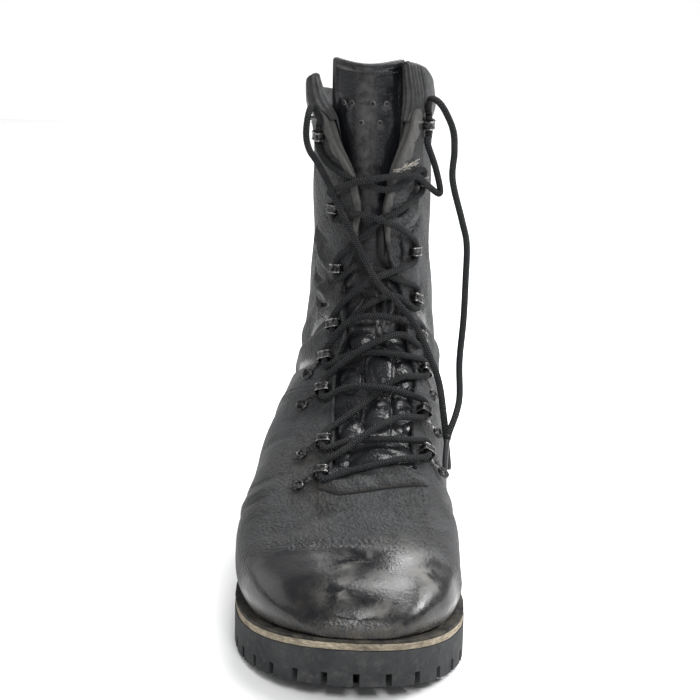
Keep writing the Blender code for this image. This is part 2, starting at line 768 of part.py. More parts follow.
def eyelet_matrix(pair, side):
    """Local X runs away from the throat, Y up the boot and Z out of the leather."""
    point, normal, up = eyelet_place(pair, side)
    up = (up - normal * up.dot(normal)).normalized()
    away = up.cross(normal).normalized()
    if away.x * side < 0.0:
        away = -away
    seat = point + normal * (EYESTAY_STEP + GAP + 0.0001)
    basis = Matrix((away, up, normal)).transposed()
    if basis.determinant() < 0.0:
        basis = Matrix((away, -up, normal)).transposed()
    return Matrix.Translation(seat) @ basis.to_4x4()


def make_eyelet(name, pair, side, metal):
    """A folded metal bridge that the lace runs under; the lower ones have a riveted tail."""
    place = eyelet_matrix(pair, side)
    outer = (EYELET_WIDTH, EYELET_LENGTH, EYELET_HEIGHT)
    lift = Matrix.Translation((0.0, 0.0, EYELET_HEIGHT / 2.0))
    bridge = block(name, outer, place @ lift, metal)
    inner = (EYELET_WIDTH - 2.0 * EYELET_METAL, EYELET_LENGTH + 0.002,
             EYELET_HEIGHT - 2.0 * EYELET_METAL)
    tunnel = block(name + "_tunnel", inner, place @ lift, metal, CUTTERS)
    combine(bridge, tunnel, "DIFFERENCE")
    if pair < TAILED_PAIRS:
        down = -1.0 if place.to_3x3().col[1].z > 0.0 else 1.0
        turn = Matrix.Rotation(math.radians(TAIL_TURN) * down, 4, "Z")
        reach = Matrix.Translation((EYELET_WIDTH / 2.0 - 0.0006, 0.0, 0.0))
        lever = Matrix.Translation((TAIL_LENGTH / 2.0, 0.0, EYELET_METAL / 2.0 + 0.0002))
        tail = block(name + "_tail", (TAIL_LENGTH, TAIL_WIDTH, EYELET_METAL),
                     place @ reach @ turn @ lever, metal, CUTTERS)
        combine(bridge, tail, "UNION")
        mesh = bpy.data.meshes.new(name + "_rivet")
        bm = bmesh.new()
        bmesh.ops.create_cone(bm, cap_ends=True, segments=9, radius1=TAIL_RADIUS,
                              radius2=TAIL_RADIUS * 0.8, depth=RIVET_HEIGHT)
        spot = Matrix.Translation((TAIL_LENGTH, 0.0, 0.0008))
        bmesh.ops.transform(bm, matrix=place @ reach @ turn @ spot, verts=bm.verts)
        bm.to_mesh(mesh)
        bm.free()
        combine(bridge, new_object(name + "_rivet", mesh, metal, CUTTERS), "UNION")
    return bridge


# Lace

def smooth_path(points, spacing):
    """A smooth curve through the route's own points, with others between where they lie far apart."""
    p = np.array(points, float)
    p = np.vstack([2.0 * p[0] - p[1], p, 2.0 * p[-1] - p[-2]])
    out = []
    for i in range(1, len(p) - 2):
        count = max(1, int(math.ceil(np.linalg.norm(p[i + 1] - p[i]) / spacing)))
        for u in np.linspace(0.0, 1.0, count, endpoint=False):
            a = -0.5 * u ** 3 + u ** 2 - 0.5 * u
            b = 1.5 * u ** 3 - 2.5 * u ** 2 + 1.0
            c = -1.5 * u ** 3 + 2.0 * u ** 2 + 0.5 * u
            d = 0.5 * u ** 3 - 0.5 * u ** 2
            out.append(a * p[i - 1] + b * p[i] + c * p[i + 1] + d * p[i + 2])
    return np.array(out + [p[-2]])


def make_cord(name, route, spacing, material):
    curve = bpy.data.curves.new(name, "CURVE")
    curve.dimensions = "3D"
    curve.bevel_depth = LACE_DIAMETER / 2.0
    curve.bevel_resolution = 1
    curve.use_fill_caps = True
    spline = curve.splines.new("POLY")
    path = smooth_path(route, spacing)
    spline.points.add(len(path) - 1)
    for point, co in zip(spline.points, path):
        point.co = (*co, 1.0)
    curve.materials.append(material)
    item = bpy.data.objects.new(name, curve)
    COLLECTION.objects.link(item)
    return item


def clear_point(row, x, lift):
    point, normal, up = skin_frame(row, x)
    return tuple(point + normal * (LACE_DIAMETER / 2.0 + lift))


def through(pair, side, upward):
    """Three points that lead the lace through an eyelet's bridge, along the boot."""
    place = eyelet_matrix(pair, side)
    rise = 1.0 if place.to_3x3().col[1].z > 0.0 else -1.0
    order = (-1.0, 0.0, 1.0) if upward else (1.0, 0.0, -1.0)
    spots = []
    for k in order:
        reach = -0.0014 if k else 0.0
        spots.append(tuple(place @ Vector((reach, k * rise * LACE_REACH, EYELET_HEIGHT / 2.0))))
    return spots


def crossing(row_a, x_a, row_b, x_b, lift):
    """Points of one strand over the throat, between two eyelets."""
    spots = []
    for u in (0.25, 0.5, 0.75):
        hump = lift * math.sin(math.pi * u)
        row = row_a + (row_b - row_a) * u
        x = x_a + (x_b - x_a) * u
        spots.append(clear_point(row, x, 0.0022 + hump))
    return spots


def eyelet_spot(pair, side):
    row = EYELETS[pair][0 if side < 0 else 1]
    return row, eyelet_place(pair, side)[0].x


def lace_route():
    """From the top lateral eyelet down the ladder, across the bottom bar and up the other side."""
    top = len(EYELETS) - 1
    route = []
    side = -1
    for pair in range(top, 0, -1):
        route += through(pair, side, False)
        row_a, x_a = eyelet_spot(pair, side)
        row_b, x_b = eyelet_spot(pair - 1, -side)
        route += crossing(row_a - 0.12, x_a, row_b + 0.12, x_b, 0.0)
        side = -side
    route += through(0, side, False)
    row_a, x_a = eyelet_spot(0, side)
    row_b, x_b = eyelet_spot(0, -side)
    route += crossing(row_a - 0.30, x_a, row_b - 0.30, x_b, 0.0)
    side = -side
    for pair in range(0, top):
        route += through(pair, side, True)
        row_a, x_a = eyelet_spot(pair, side)
        row_b, x_b = eyelet_spot(pair + 1, -side)
        route += crossing(row_a + 0.12, x_a, row_b - 0.12, x_b, LACE_DIAMETER + 0.0012)
        side = -side
    route += through(top, side, True)
    return route


def free_end(last, before, points):
    """A free end of the lace, which goes on where the crossings stop."""
    away = (Vector(last) - Vector(before)).normalized()
    start = Vector(last) + away * GAP
    return [tuple(start), tuple(start + away * LACE_DIAMETER)] + list(points)


def material(name, colour, rough, metal=0.0):
    made = bpy.data.materials.new(name)
    made.use_nodes = True
    shader = made.node_tree.nodes["Principled BSDF"]
    shader.inputs["Base Color"].default_value = (*colour, 1.0)
    shader.inputs["Roughness"].default_value = rough
    shader.inputs["Metallic"].default_value = metal
    return made


def main():
    global COLLECTION, CUTTERS
    for item in list(bpy.data.objects):
        bpy.data.objects.remove(item)
    COLLECTION = bpy.data.collections.new("combat_boot")
    CUTTERS = bpy.data.collections.new("cutters")
    bpy.context.scene.collection.children.link(COLLECTION)
    bpy.context.scene.collection.children.link(CUTTERS)
    rubber = material("rubber", (0.035, 0.037, 0.040), 0.75)
    leather = material("black_leather", (0.035, 0.036, 0.038), 0.45)
    edge = material("sole_leather", (0.36, 0.28, 0.20), 0.85)
    metal = material("gunmetal", (0.30, 0.31, 0.32), 0.35, 1.0)
    cord = material("lace", (0.030, 0.032, 0.034), 0.85)

    make_outsole(rubber)
    make_heel(rubber)
    slab("midsole", MIDSOLE_SETBACK, lambda y: rubber_top(y) + GAP, midsole_top, edge)
    ring("welt", 0.0002, WELT_REACH, feather, lambda y: feather(y) + WELT, leather)
    insole_inset = WELT_REACH + WELT_CLEARANCE + WALL + INSOLE_CLEARANCE
    slab("insole", insole_inset, feather, lambda y: feather(y) + INSOLE, edge)
    make_upper(leather)
    make_tongue(leather)
    for side, word in ((-1, "lateral"), (1, "medial")):
        for pair in range(len(EYELETS)):
            make_eyelet("eyelet_%s_%d" % (word, pair + 1), pair, side, metal)
    route = lace_route()
    make_cord("lace_crossings", route, LACE_STEP, cord)
    make_cord("lace_end_lateral", free_end(route[0], route[1], LATERAL_END), LACE_STEP, cord)
    make_cord("lace_end_medial", free_end(route[-1], route[-2], MEDIAL_END), LACE_STEP, cord)


main()
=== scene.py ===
"""The looks of the laced leather combat boot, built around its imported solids.

The shape functions repeat those of the part's source, so every piece here lies where its solid is.
"""
import math

import bmesh
import bpy
import numpy as np
from mathutils import Matrix, Vector


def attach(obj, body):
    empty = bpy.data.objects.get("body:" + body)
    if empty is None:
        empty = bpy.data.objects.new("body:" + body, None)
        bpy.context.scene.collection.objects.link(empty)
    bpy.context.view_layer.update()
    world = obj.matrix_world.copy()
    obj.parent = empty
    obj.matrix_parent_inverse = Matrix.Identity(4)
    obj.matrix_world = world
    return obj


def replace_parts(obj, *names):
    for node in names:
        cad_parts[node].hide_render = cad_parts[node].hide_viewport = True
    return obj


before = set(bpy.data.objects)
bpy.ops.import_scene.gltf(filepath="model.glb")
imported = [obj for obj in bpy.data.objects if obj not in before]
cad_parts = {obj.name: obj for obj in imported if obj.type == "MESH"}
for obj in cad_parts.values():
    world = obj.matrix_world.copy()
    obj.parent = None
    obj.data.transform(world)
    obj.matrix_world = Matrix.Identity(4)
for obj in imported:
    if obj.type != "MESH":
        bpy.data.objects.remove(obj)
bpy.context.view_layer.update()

# Driving sizes of the sole
SOLE_LENGTH = 0.310
BALL_WIDTH = 0.1175
HEEL_WIDTH = 0.0855
FOREFOOT_RUBBER = 0.0183
HEEL_RUBBER = 0.0288
TOE_SPRING = 0.0100
SPRING_START = 0.72
MIDSOLE = 0.0034
WELT_REACH = 0.0052

# Driving sizes of the upper
UPPER_HEIGHT = 0.238
WALL = 0.0022
CUFF_FULLNESS = 0.0022
LATERAL_WING_DROP = 0.0070
MEDIAL_WING_DROP = 0.0010
RIM_DIP = 0.0070
PAD_FULLNESS = 0.0026
PAD_HALF_HEIGHT = 0.0185
PAD_HALF_WIDTH = 0.0470
PAD_HEIGHT = 0.445
PAD_RIBS = 3
RIB_GROOVE = 0.0012
EYESTAY_WIDTH = 0.0135
EYESTAY_STEP = 0.0009
TONGUE_THICKNESS = 0.0030
TONGUE_TOP_ROW = 24.0
TONGUE_RISE = 0.0175
TONGUE_CURVE = 0.0035
TONGUE_INSET = 0.0035
TONGUE_HALF_WIDTH = 0.0240
TONGUE_CENTRE = 0.0005

# Driving sizes of the hardware and the lace
EYELET_WIDTH = 0.0080
EYELET_HEIGHT = 0.0056
EYELET_LENGTH = 0.0052
EYELET_METAL = 0.0007
TAIL_LENGTH = 0.0110
TAIL_TURN = 38.0
HOLDER_RIM = 0.00042
LACE_DIAMETER = 0.0036
LACE_REACH = 0.0062

# Clearance between pieces that touch on the real boot
GAP = 0.0003
WELT_CLEARANCE = 0.0022

# Outline of the outsole, heel to toe: shares of the length, of half the local width, of the ball width
SOLE_OUTLINE = (
    # along, half width, centre shift
    (0.000, 0.000, 0.000),
    (0.020, 0.390, 0.000),
    (0.050, 0.640, 0.000),
    (0.100, 0.875, 0.000),
    (0.160, 0.980, 0.000),
    (0.240, 1.000, 0.000),
    (0.320, 0.905, -0.009),
    (0.400, 0.790, -0.019),
    (0.480, 0.770, -0.029),
    (0.560, 0.850, -0.029),
    (0.630, 0.935, -0.020),
    (0.690, 0.988, -0.010),
    (0.750, 1.000, 0.002),
    (0.810, 0.969, 0.014),
    (0.870, 0.881, 0.024),
    (0.920, 0.750, 0.034),
    (0.960, 0.572, 0.043),
    (0.985, 0.370, 0.055),
    (1.000, 0.000, 0.062),
)

# Sections of the upper, toe to collar.  Each plane runs from a front point on the ridge to a back
# point, which is on the feather edge while the section is open underneath.  Places along the foot
# are shares of the sole length, heights of the upper's height, sideways places of the ball width.
SECTION_NAMES = ("front_y", "front_z", "back_y", "back_z", "ridge", "lateral", "medial", "widest",
                 "square", "bow", "gap_lateral", "gap_medial", "cuts")
SECTIONS = (
    (0.9750, 0.044, 1.000, 0.000, 0.062, -0.062, 0.062, 0.45, 2.2, 0.0165, 0.062, 0.062, 1),
    (0.9710, 0.057, 0.992, 0.000, 0.062, 0.066, 0.181, 0.45, 2.2, 0.0165, 0.010, 0.090, 1),
    (0.9610, 0.080, 0.980, 0.000, 0.060, 0.148, 0.252, 0.48, 2.3, 0.0150, -0.030, 0.130, 1),
    (0.9420, 0.103, 0.962, 0.000, 0.062, 0.232, 0.315, 0.50, 2.4, 0.0115, -0.060, 0.170, 1),
    (0.9130, 0.124, 0.935, 0.000, 0.070, 0.312, 0.374, 0.52, 2.6, 0.0075, -0.085, 0.208, 1),
    (0.8770, 0.141, 0.900, 0.000, 0.081, 0.376, 0.430, 0.54, 2.7, 0.0045, -0.102, 0.247, 2),
    (0.8390, 0.157, 0.860, 0.000, 0.090, 0.428, 0.461, 0.56, 2.8, 0.0020, -0.112, 0.281, 1),
    (0.7940, 0.179, 0.800, 0.000, 0.098, 0.474, 0.482, 0.58, 2.9, 0.0000, -0.120, 0.298, 2),
    (0.7160, 0.224, 0.700, 0.000, 0.098, 0.505, 0.476, 0.58, 2.9, 0.0000, -0.123, 0.315, 2),
    (0.6650, 0.259, 0.600, 0.000, 0.094, 0.502, 0.452, 0.58, 2.7, 0.0000, -0.106, 0.290, 2),
    (0.6030, 0.308, 0.490, 0.000, 0.081, 0.477, 0.424, 0.60, 2.5, 0.0000, -0.102, 0.264, 2),
    (0.5390, 0.363, 0.360, 0.000, 0.064, 0.452, 0.414, 0.60, 2.4, 0.0000, -0.115, 0.260, 2),
    (0.4840, 0.422, 0.220, 0.000, 0.045, 0.414, 0.402, 0.66, 2.3, 0.0000, -0.111, 0.260, 2),
    (0.4516, 0.480, 0.100, 0.000, 0.032, 0.368, 0.392, 0.73, 2.2, 0.0000, -0.072, 0.215, 2),
    (0.4320, 0.528, 0.040, 0.000, 0.024, 0.330, 0.385, 0.72, 2.2, 0.0000, -0.085, 0.195, 1),
    (0.4230, 0.560, 0.010, 0.000, 0.022, 0.320, 0.379, 0.70, 2.1, 0.0000, -0.094, 0.185, 1),
    (0.4160, 0.588, 0.000, 0.000, 0.020, 0.311, 0.373, 0.68, 2.1, 0.0000, -0.090, 0.175, 1),
    (0.4110, 0.617, 0.0148, 0.047, 0.020, 0.300, 0.360, 0.68, 2.1, 0.0000, -0.066, 0.145, 1),
    (0.4080, 0.646, 0.0110, 0.098, 0.020, 0.290, 0.344, 0.65, 2.1, 0.0000, -0.045, 0.122, 2),
    (0.4030, 0.705, 0.0242, 0.249, 0.020, 0.268, 0.322, 0.57, 2.1, 0.0000, -0.028, 0.102, 2),
    (0.4000, 0.745, 0.0419, 0.355, 0.020, 0.253, 0.305, 0.54, 2.1, 0.0000, -0.020, 0.098, 6),
    (0.4000, 0.800, 0.0435, 0.560, 0.020, 0.247, 0.296, 0.50, 2.1, 0.0000, -0.040, 0.115, 2),
    (0.4000, 0.880, 0.0480, 0.720, 0.020, 0.250, 0.292, 0.50, 2.1, 0.0000, -0.110, 0.160, 1),
    (0.4000, 0.945, 0.0500, 0.866, 0.020, 0.258, 0.294, 0.50, 2.1, 0.0000, -0.175, 0.205, 1),
    (0.4000, 1.005, 0.0450, 0.908, 0.020, 0.276, 0.297, 0.50, 2.1, 0.0000, -0.225, 0.208, 1),
    (0.4000, 1.080, 0.0400, 0.946, 0.020, 0.300, 0.303, 0.50, 2.1, 0.0000, -0.262, 0.200, 0),
)
THROAT_ROW = 8
CLOSED_ROW = 16
CUFF_ROW = 23

# Eyelet pairs, bottom to top: section places, then shares of the eyestay band from the throat
EYELETS = (
    # lateral row, medial row, lateral share, medial share
    (8.75, 9.80, 0.22, 0.42),
    (9.80, 11.00, 0.28, 0.30),
    (11.30, 12.30, 0.32, 0.45),
    (12.25, 13.60, 0.36, 0.85),
    (13.40, 16.20, 0.34, 0.62),
    (17.40, 18.80, 0.26, 0.74),
    (20.33, 21.40, 0.48, 0.74),
    (22.50, 22.90, 0.38, 0.52),
)
TAILED_PAIRS = 4

# Free ends of the lace: points along each after it has left the top eyelet, metres
LATERAL_END = (
    (-0.0290, 0.0400, 0.2585),
    (-0.0310, 0.0340, 0.2540),
    (-0.0318, 0.0330, 0.2440),
    (-0.0300, 0.0330, 0.2360),
    (-0.0256, 0.0340, 0.2290),
    (-0.0200, 0.0330, 0.2190),
    (-0.0143, 0.0245, 0.2095),
    (-0.0030, 0.0190, 0.1885),
    (0.0086, 0.0110, 0.1695),
    (0.0190, 0.0070, 0.1600),
    (0.0297, 0.0020, 0.1485),
    (0.0375, -0.0040, 0.1340),
    (0.0434, -0.0085, 0.1195),
    (0.0465, -0.0150, 0.1025),
    (0.0485, -0.0210, 0.0885),
    (0.0500, -0.0250, 0.0765),
)
MEDIAL_END = (
    (0.0345, 0.0400, 0.2640),
    (0.0385, 0.0310, 0.2640),
    (0.0425, 0.0300, 0.2590),
    (0.0470, 0.0290, 0.2490),
    (0.0480, 0.0270, 0.2380),
    (0.0475, 0.0240, 0.2230),
    (0.0530, 0.0200, 0.2025),
    (0.0560, 0.0160, 0.1900),
    (0.0560, 0.0120, 0.1715),
    (0.0555, 0.0070, 0.1505),
    (0.0540, 0.0010, 0.1295),
    (0.0545, -0.0080, 0.1125),
    (0.0527, -0.0160, 0.1045),
    (0.0490, -0.0230, 0.0950),
    (0.0478, -0.0270, 0.0850),
    (0.0477, -0.0290, 0.0770),
)


def monotone(xs, ys, x):
    """Smooth interpolation through a table's rows that never overshoots them."""
    xs = np.asarray(xs, float)
    ys = np.asarray(ys, float)
    step = np.diff(xs)
    slope = np.diff(ys) / step
    tangent = np.zeros(len(xs))
    tangent[0] = slope[0]
    tangent[-1] = slope[-1]
    for i in range(1, len(xs) - 1):
        if slope[i - 1] * slope[i] > 0.0:
            a = 2.0 * step[i] + step[i - 1]
            b = step[i] + 2.0 * step[i - 1]
            tangent[i] = (a + b) / (a / slope[i - 1] + b / slope[i])
    x = np.clip(x, xs[0], xs[-1])
    k = np.clip(np.searchsorted(xs, x, side="right") - 1, 0, len(xs) - 2)
    u = (x - xs[k]) / step[k]
    rise = (3.0 - 2.0 * u) * u * u
    return (ys[k] * (1.0 - rise) + ys[k + 1] * rise
            + step[k] * u * (1.0 - u) * (tangent[k] * (1.0 - u) - tangent[k + 1] * u))


def ramp(x, low, high):
    """0 below low, 1 above high, smooth between."""
    u = np.clip((x - low) / (high - low), 0.0, 1.0)
    return u * u * (3.0 - 2.0 * u)


def along(y):
    """Share of the sole's length from the heel, for a place on the Y axis."""
    return 0.5 - y / SOLE_LENGTH


def place_y(share):
    return (0.5 - share) * SOLE_LENGTH


# Sole: outline and levels

def outline(share, inset):
    """Lateral and medial edge of the sole (x) and their y, at a share along the inset outline."""
    local = HEEL_WIDTH + (BALL_WIDTH - HEEL_WIDTH) * ramp(share, 0.28, 0.62)
    names = list(zip(*SOLE_OUTLINE))
    squared = monotone(names[0], np.square(names[1]), share)
    half = np.sqrt(np.maximum(squared, 0.0)) * (local / 2.0 - inset)
    centre = monotone(names[0], names[2], share) * BALL_WIDTH
    y = SOLE_LENGTH / 2.0 - inset - share * (SOLE_LENGTH - 2.0 * inset)
    return centre - half, centre + half, y


def ground(y):
    """Height of the tread's lowest face: flat, then rising in the toe spring."""
    rise = np.clip((along(y) - SPRING_START) / (1.0 - SPRING_START), 0.0, 1.0)
    return TOE_SPRING * rise * rise


def rubber_top(y):
    ramped = np.clip((along(y) - 0.25) / 0.30, 0.0, 1.0)
    return HEEL_RUBBER + (FOREFOOT_RUBBER - HEEL_RUBBER) * ramped + ground(y)


def midsole_top(y):
    return rubber_top(y) + GAP + MIDSOLE


def feather(y):
    """Height where the upper's lower edge stands."""
    return midsole_top(y) + GAP


# Upper: one function gives every point of its outer skin

def section(row):
    """The values of the section table at a fractional row number."""
    values = []
    numbers = range(len(SECTIONS))
    columns = list(zip(*SECTIONS))
    for column in columns[:-1]:
        values.append(float(monotone(numbers, column, row)))
    return dict(zip(SECTION_NAMES, values))


def half_section(row, side, samples=40):
    """Points from the ridge to the back or feather edge, on one side, as an array."""
    s = section(row)
    inset = WELT_REACH + WELT_CLEARANCE
    front_y = place_y(s["front_y"])
    front = np.array([0.0, front_y, float(feather(front_y)) + s["front_z"] * UPPER_HEIGHT])
    ridge = s["ridge"] * BALL_WIDTH
    wide = (s["lateral"] if side < 0 else s["medial"]) * BALL_WIDTH * side
    if row <= CLOSED_ROW:
        left, right, back_y = outline(s["back_y"], inset)
        edge = left if side < 0 else right
        back_z = float(feather(back_y))
    else:
        opened = outline(0.0, inset)[2]
        settle = ramp(row, CLOSED_ROW, CLOSED_ROW + 1.0)
        back_y = opened + (place_y(s["back_y"]) - opened) * settle
        edge = 0.0
        back_z = float(feather(back_y)) + s["back_z"] * UPPER_HEIGHT
    back = np.array([0.0, back_y, back_z])
    power = 2.0 / s["square"]
    turn = np.linspace(0.0, math.pi / 2.0, samples // 2 + 1)
    chord_front = s["widest"] * (1.0 - np.cos(turn) ** power)
    x_front = ridge + (wide - ridge) * np.sin(turn) ** power
    u = np.sin(turn[1:])
    tuck = 1.0 - u * u * (3.0 - 2.0 * u)
    rounded = np.cos(turn[1:])
    closing = np.clip((wide - edge) / wide * 1.5 - 0.4, 0.0, 1.0) if wide != 0.0 else 0.0
    x_back = edge + (wide - edge) * (tuck + (rounded - tuck) * closing)
    chord_back = s["widest"] + (1.0 - s["widest"]) * u
    chord = np.concatenate([chord_front, chord_back])
    x = np.concatenate([x_front, x_back])
    points = front + chord[:, None] * (back - front)
    points[:, 0] = x
    points[:, 1] -= s["bow"] * SOLE_LENGTH * np.sin(np.pi * chord) ** 2
    return points


def unit(vectors):
    return vectors / np.maximum(np.linalg.norm(vectors, axis=-1, keepdims=True), 1e-12)


def arc_lengths(points):
    steps = np.linalg.norm(np.diff(points, axis=0), axis=1)
    return np.concatenate([[0.0], np.cumsum(steps)])


def at_arc(points, lengths, wanted):
    return np.array([np.interp(wanted, lengths, points[:, k]) for k in range(3)]).T


def gap_arc(row, side, points, lengths):
    """Distance from the ridge to the throat's edge, along the section."""
    s = section(row)
    target = (s["gap_lateral"] if side < 0 else s["gap_medial"]) * BALL_WIDTH * side
    half = len(points) // 2 + 1
    return float(np.interp(target, points[:half, 0] * side, lengths[:half]))


INNER_COLUMNS = 3
OUTER_COLUMNS = 12


def eyestay_band(row):
    """Width of the eyestay, wider on the shaft than on the instep."""
    return EYESTAY_WIDTH * (1.0 + 1.10 * ramp(row, 14.0, 19.0))


# Places on the skin, for the tongue, the eyelets and the lace

def skin_point(row, x):
    """A point of the plain skin at a section and a sideways place, between the widest points."""
    ridge = section(row)["ridge"] * BALL_WIDTH
    side = -1 if x < ridge else 1
    points = half_section(row, side)
    half = len(points) // 2 + 1
    return np.array([np.interp(x * side, points[:half, 0] * side, points[:half, k]) for k in range(3)])


def skin_frame(row, x):
    """Point, outward normal and upward direction on the plain skin."""
    here = skin_point(row, x)
    up = skin_point(min(row + 0.15, len(SECTIONS) - 1.0), x) - skin_point(row - 0.15, x)
    across = skin_point(row, x + 0.001) - skin_point(row, x - 0.001)
    normal = Vector(np.cross(across, up)).normalized()
    if normal.y > 0.0 and normal.z < 0.3:
        normal = -normal
    if normal.z < 0.0 and row < CLOSED_ROW:
        normal = -normal
    return Vector(here), normal, Vector(up).normalized()


def eyelet_place(pair, side):
    lateral, medial, lateral_share, medial_share = EYELETS[pair]
    row = lateral if side < 0 else medial
    share = lateral_share if side < 0 else medial_share
    points = half_section(row, side)
    lengths = arc_lengths(points)
    arc = gap_arc(row, side, points, lengths) + eyestay_band(row) * share
    x = float(at_arc(points, lengths, np.array([arc]))[0, 0])
    return skin_frame(row, x)


def eyelet_matrix(pair, side):
    """Local X runs away from the throat, Y up the boot and Z out of the leather."""
    point, normal, up = eyelet_place(pair, side)
    up = (up - normal * up.dot(normal)).normalized()
    away = up.cross(normal).normalized()
    if away.x * side < 0.0:
        away = -away
    seat = point + normal * (EYESTAY_STEP + GAP + 0.0001)
    basis = Matrix((away, up, normal)).transposed()
    if basis.determinant() < 0.0:
        basis = Matrix((away, -up, normal)).transposed()
    return Matrix.Translation(seat) @ basis.to_4x4()


def smooth_path(points, spacing):
    """A smooth curve through the route's own points, with others between where they lie far apart."""
    p = np.array(points, float)
    p = np.vstack([2.0 * p[0] - p[1], p, 2.0 * p[-1] - p[-2]])
    out = []
    for i in range(1, len(p) - 2):
        count = max(1, int(math.ceil(np.linalg.norm(p[i + 1] - p[i]) / spacing)))
        for u in np.linspace(0.0, 1.0, count, endpoint=False):
            a = -0.5 * u ** 3 + u ** 2 - 0.5 * u
            b = 1.5 * u ** 3 - 2.5 * u ** 2 + 1.0
            c = -1.5 * u ** 3 + 2.0 * u ** 2 + 0.5 * u
            d = 0.5 * u ** 3 - 0.5 * u ** 2
            out.append(a * p[i - 1] + b * p[i] + c * p[i + 1] + d * p[i + 2])
    return np.array(out + [p[-2]])


def clear_point(row, x, lift):
    point, normal, _ = skin_frame(row, x)
    return tuple(point + normal * (LACE_DIAMETER / 2.0 + lift))


def through(pair, side, upward):
    """Three points that lead the lace through an eyelet's bridge, along the boot."""
    place = eyelet_matrix(pair, side)
    rise = 1.0 if place.to_3x3().col[1].z > 0.0 else -1.0
    order = (-1.0, 0.0, 1.0) if upward else (1.0, 0.0, -1.0)
    spots = []
    for k in order:
        reach = -0.0014 if k else 0.0
        spots.append(tuple(place @ Vector((reach, k * rise * LACE_REACH, EYELET_HEIGHT / 2.0))))
    return spots


def crossing(row_a, x_a, row_b, x_b, lift):
    """Points of one strand over the throat, between two eyelets."""
    spots = []
    for u in (0.25, 0.5, 0.75):
        hump = lift * math.sin(math.pi * u)
        row = row_a + (row_b - row_a) * u
        x = x_a + (x_b - x_a) * u
        spots.append(clear_point(row, x, 0.0022 + hump))
    return spots


def eyelet_spot(pair, side):
    row = EYELETS[pair][0 if side < 0 else 1]
    return row, eyelet_place(pair, side)[0].x


def lace_route():
    """From the top lateral eyelet down the ladder, across the bottom bar and up the other side."""
    top = len(EYELETS) - 1
    route = []
    side = -1
    for pair in range(top, 0, -1):
        route += through(pair, side, False)
        row_a, x_a = eyelet_spot(pair, side)
        row_b, x_b = eyelet_spot(pair - 1, -side)
        route += crossing(row_a - 0.12, x_a, row_b + 0.12, x_b, 0.0)
        side = -side
    route += through(0, side, False)
    row_a, x_a = eyelet_spot(0, side)
    row_b, x_b = eyelet_spot(0, -side)
    route += crossing(row_a - 0.30, x_a, row_b - 0.30, x_b, 0.0)
    side = -side
    for pair in range(0, top):
        route += through(pair, side, True)
        row_a, x_a = eyelet_spot(pair, side)
        row_b, x_b = eyelet_spot(pair + 1, -side)
        route += crossing(row_a + 0.12, x_a, row_b - 0.12, x_b, LACE_DIAMETER + 0.0012)
        side = -side
    route += through(top, side, True)
    return route


def free_end(last, before, points):
    """A free end of the lace, which goes on where the crossings stop."""
    away = (Vector(last) - Vector(before)).normalized()
    start = Vector(last) + away * GAP
    return [tuple(start), tuple(start + away * LACE_DIAMETER)] + list(points)


# Finer sizes that only the looks need
FOCAL_PIXELS = 2000.0
PICTURE_PIXELS = 700.0
BOOT_PIXEL = 487.0
SEAM_STEP = 0.0010
LINING_DEPTH = 0.0024
THREAD_RADIUS = 0.00026
STITCH_SINK = 0.0002
SEAM_RADIUS = 0.00042
LIP_SEAM_RADIUS = 0.00060
CUFF_PIPING = 0.00085
BACKSTAY_PIPING = 0.0009
FACING_THICKNESS = 0.0016
CUFF_THICKNESS = 0.0046
CUFF_RIB_PITCH = 0.0036
FLOOR_REACH = 6.0
WALL_START = 1.6
WALL_BEND = 0.9
BRAID_PITCH = 0.0027
CORD_STEP = 0.0011
AGLET_LENGTH = 0.020


def make_camera():
    """The photo's own viewpoint, turned about its own upright axis to frame the one boot."""
    data = bpy.data.cameras.new("camera")
    data.sensor_width = 36.0
    data.lens = FOCAL_PIXELS / PICTURE_PIXELS * data.sensor_width
    camera = bpy.data.objects.new("camera", data)
    bpy.context.scene.collection.objects.link(camera)
    turn = -math.atan((BOOT_PIXEL - PICTURE_PIXELS / 2.0) / FOCAL_PIXELS)
    place = Matrix.Translation((0.0356, -1.0323, 0.4180))
    look = Matrix.Rotation(0.110, 4, "Z") @ Matrix.Rotation(math.pi / 2.0 - 0.269, 4, "X")
    camera.matrix_world = place @ look @ Matrix.Rotation(turn, 4, "Y")
    bpy.context.scene.camera = camera


make_camera()

# Dense table of the plain skin

TOP_ROW = len(SECTIONS) - 1.0
TABLE_ROWS = np.linspace(0.0, TOP_ROW, 601)
TABLE_SHARES = np.linspace(0.0, 1.0, 221)
SIDES = ((-1, "lateral"), (1, "medial"))


def dense_table():
    table = {}
    for side in (-1, 1):
        points, totals, starts = [], [], []
        for row in TABLE_ROWS:
            line = half_section(row, side, 120)
            lengths = arc_lengths(line)
            points.append(at_arc(line, lengths, TABLE_SHARES * lengths[-1]))
            totals.append(lengths[-1])
            starts.append(gap_arc(row, side, line, lengths))
        table[side] = (np.array(points), np.array(totals), np.array(starts))
    return table


TABLE = dense_table()


def total_arc(row, side):
    return np.interp(row, TABLE_ROWS, TABLE[side][1])


def side_total(row, q):
    """The whole arc of the side that q lies on."""
    return np.where(q < 0, total_arc(row, -1), total_arc(row, 1))


def whole_arc(row, share):
    """Arc for a share of one side's whole arc, below zero on the lateral side."""
    return share * side_total(row, share)


def throat_arc(row, side):
    return np.interp(row, TABLE_ROWS, TABLE[side][2])


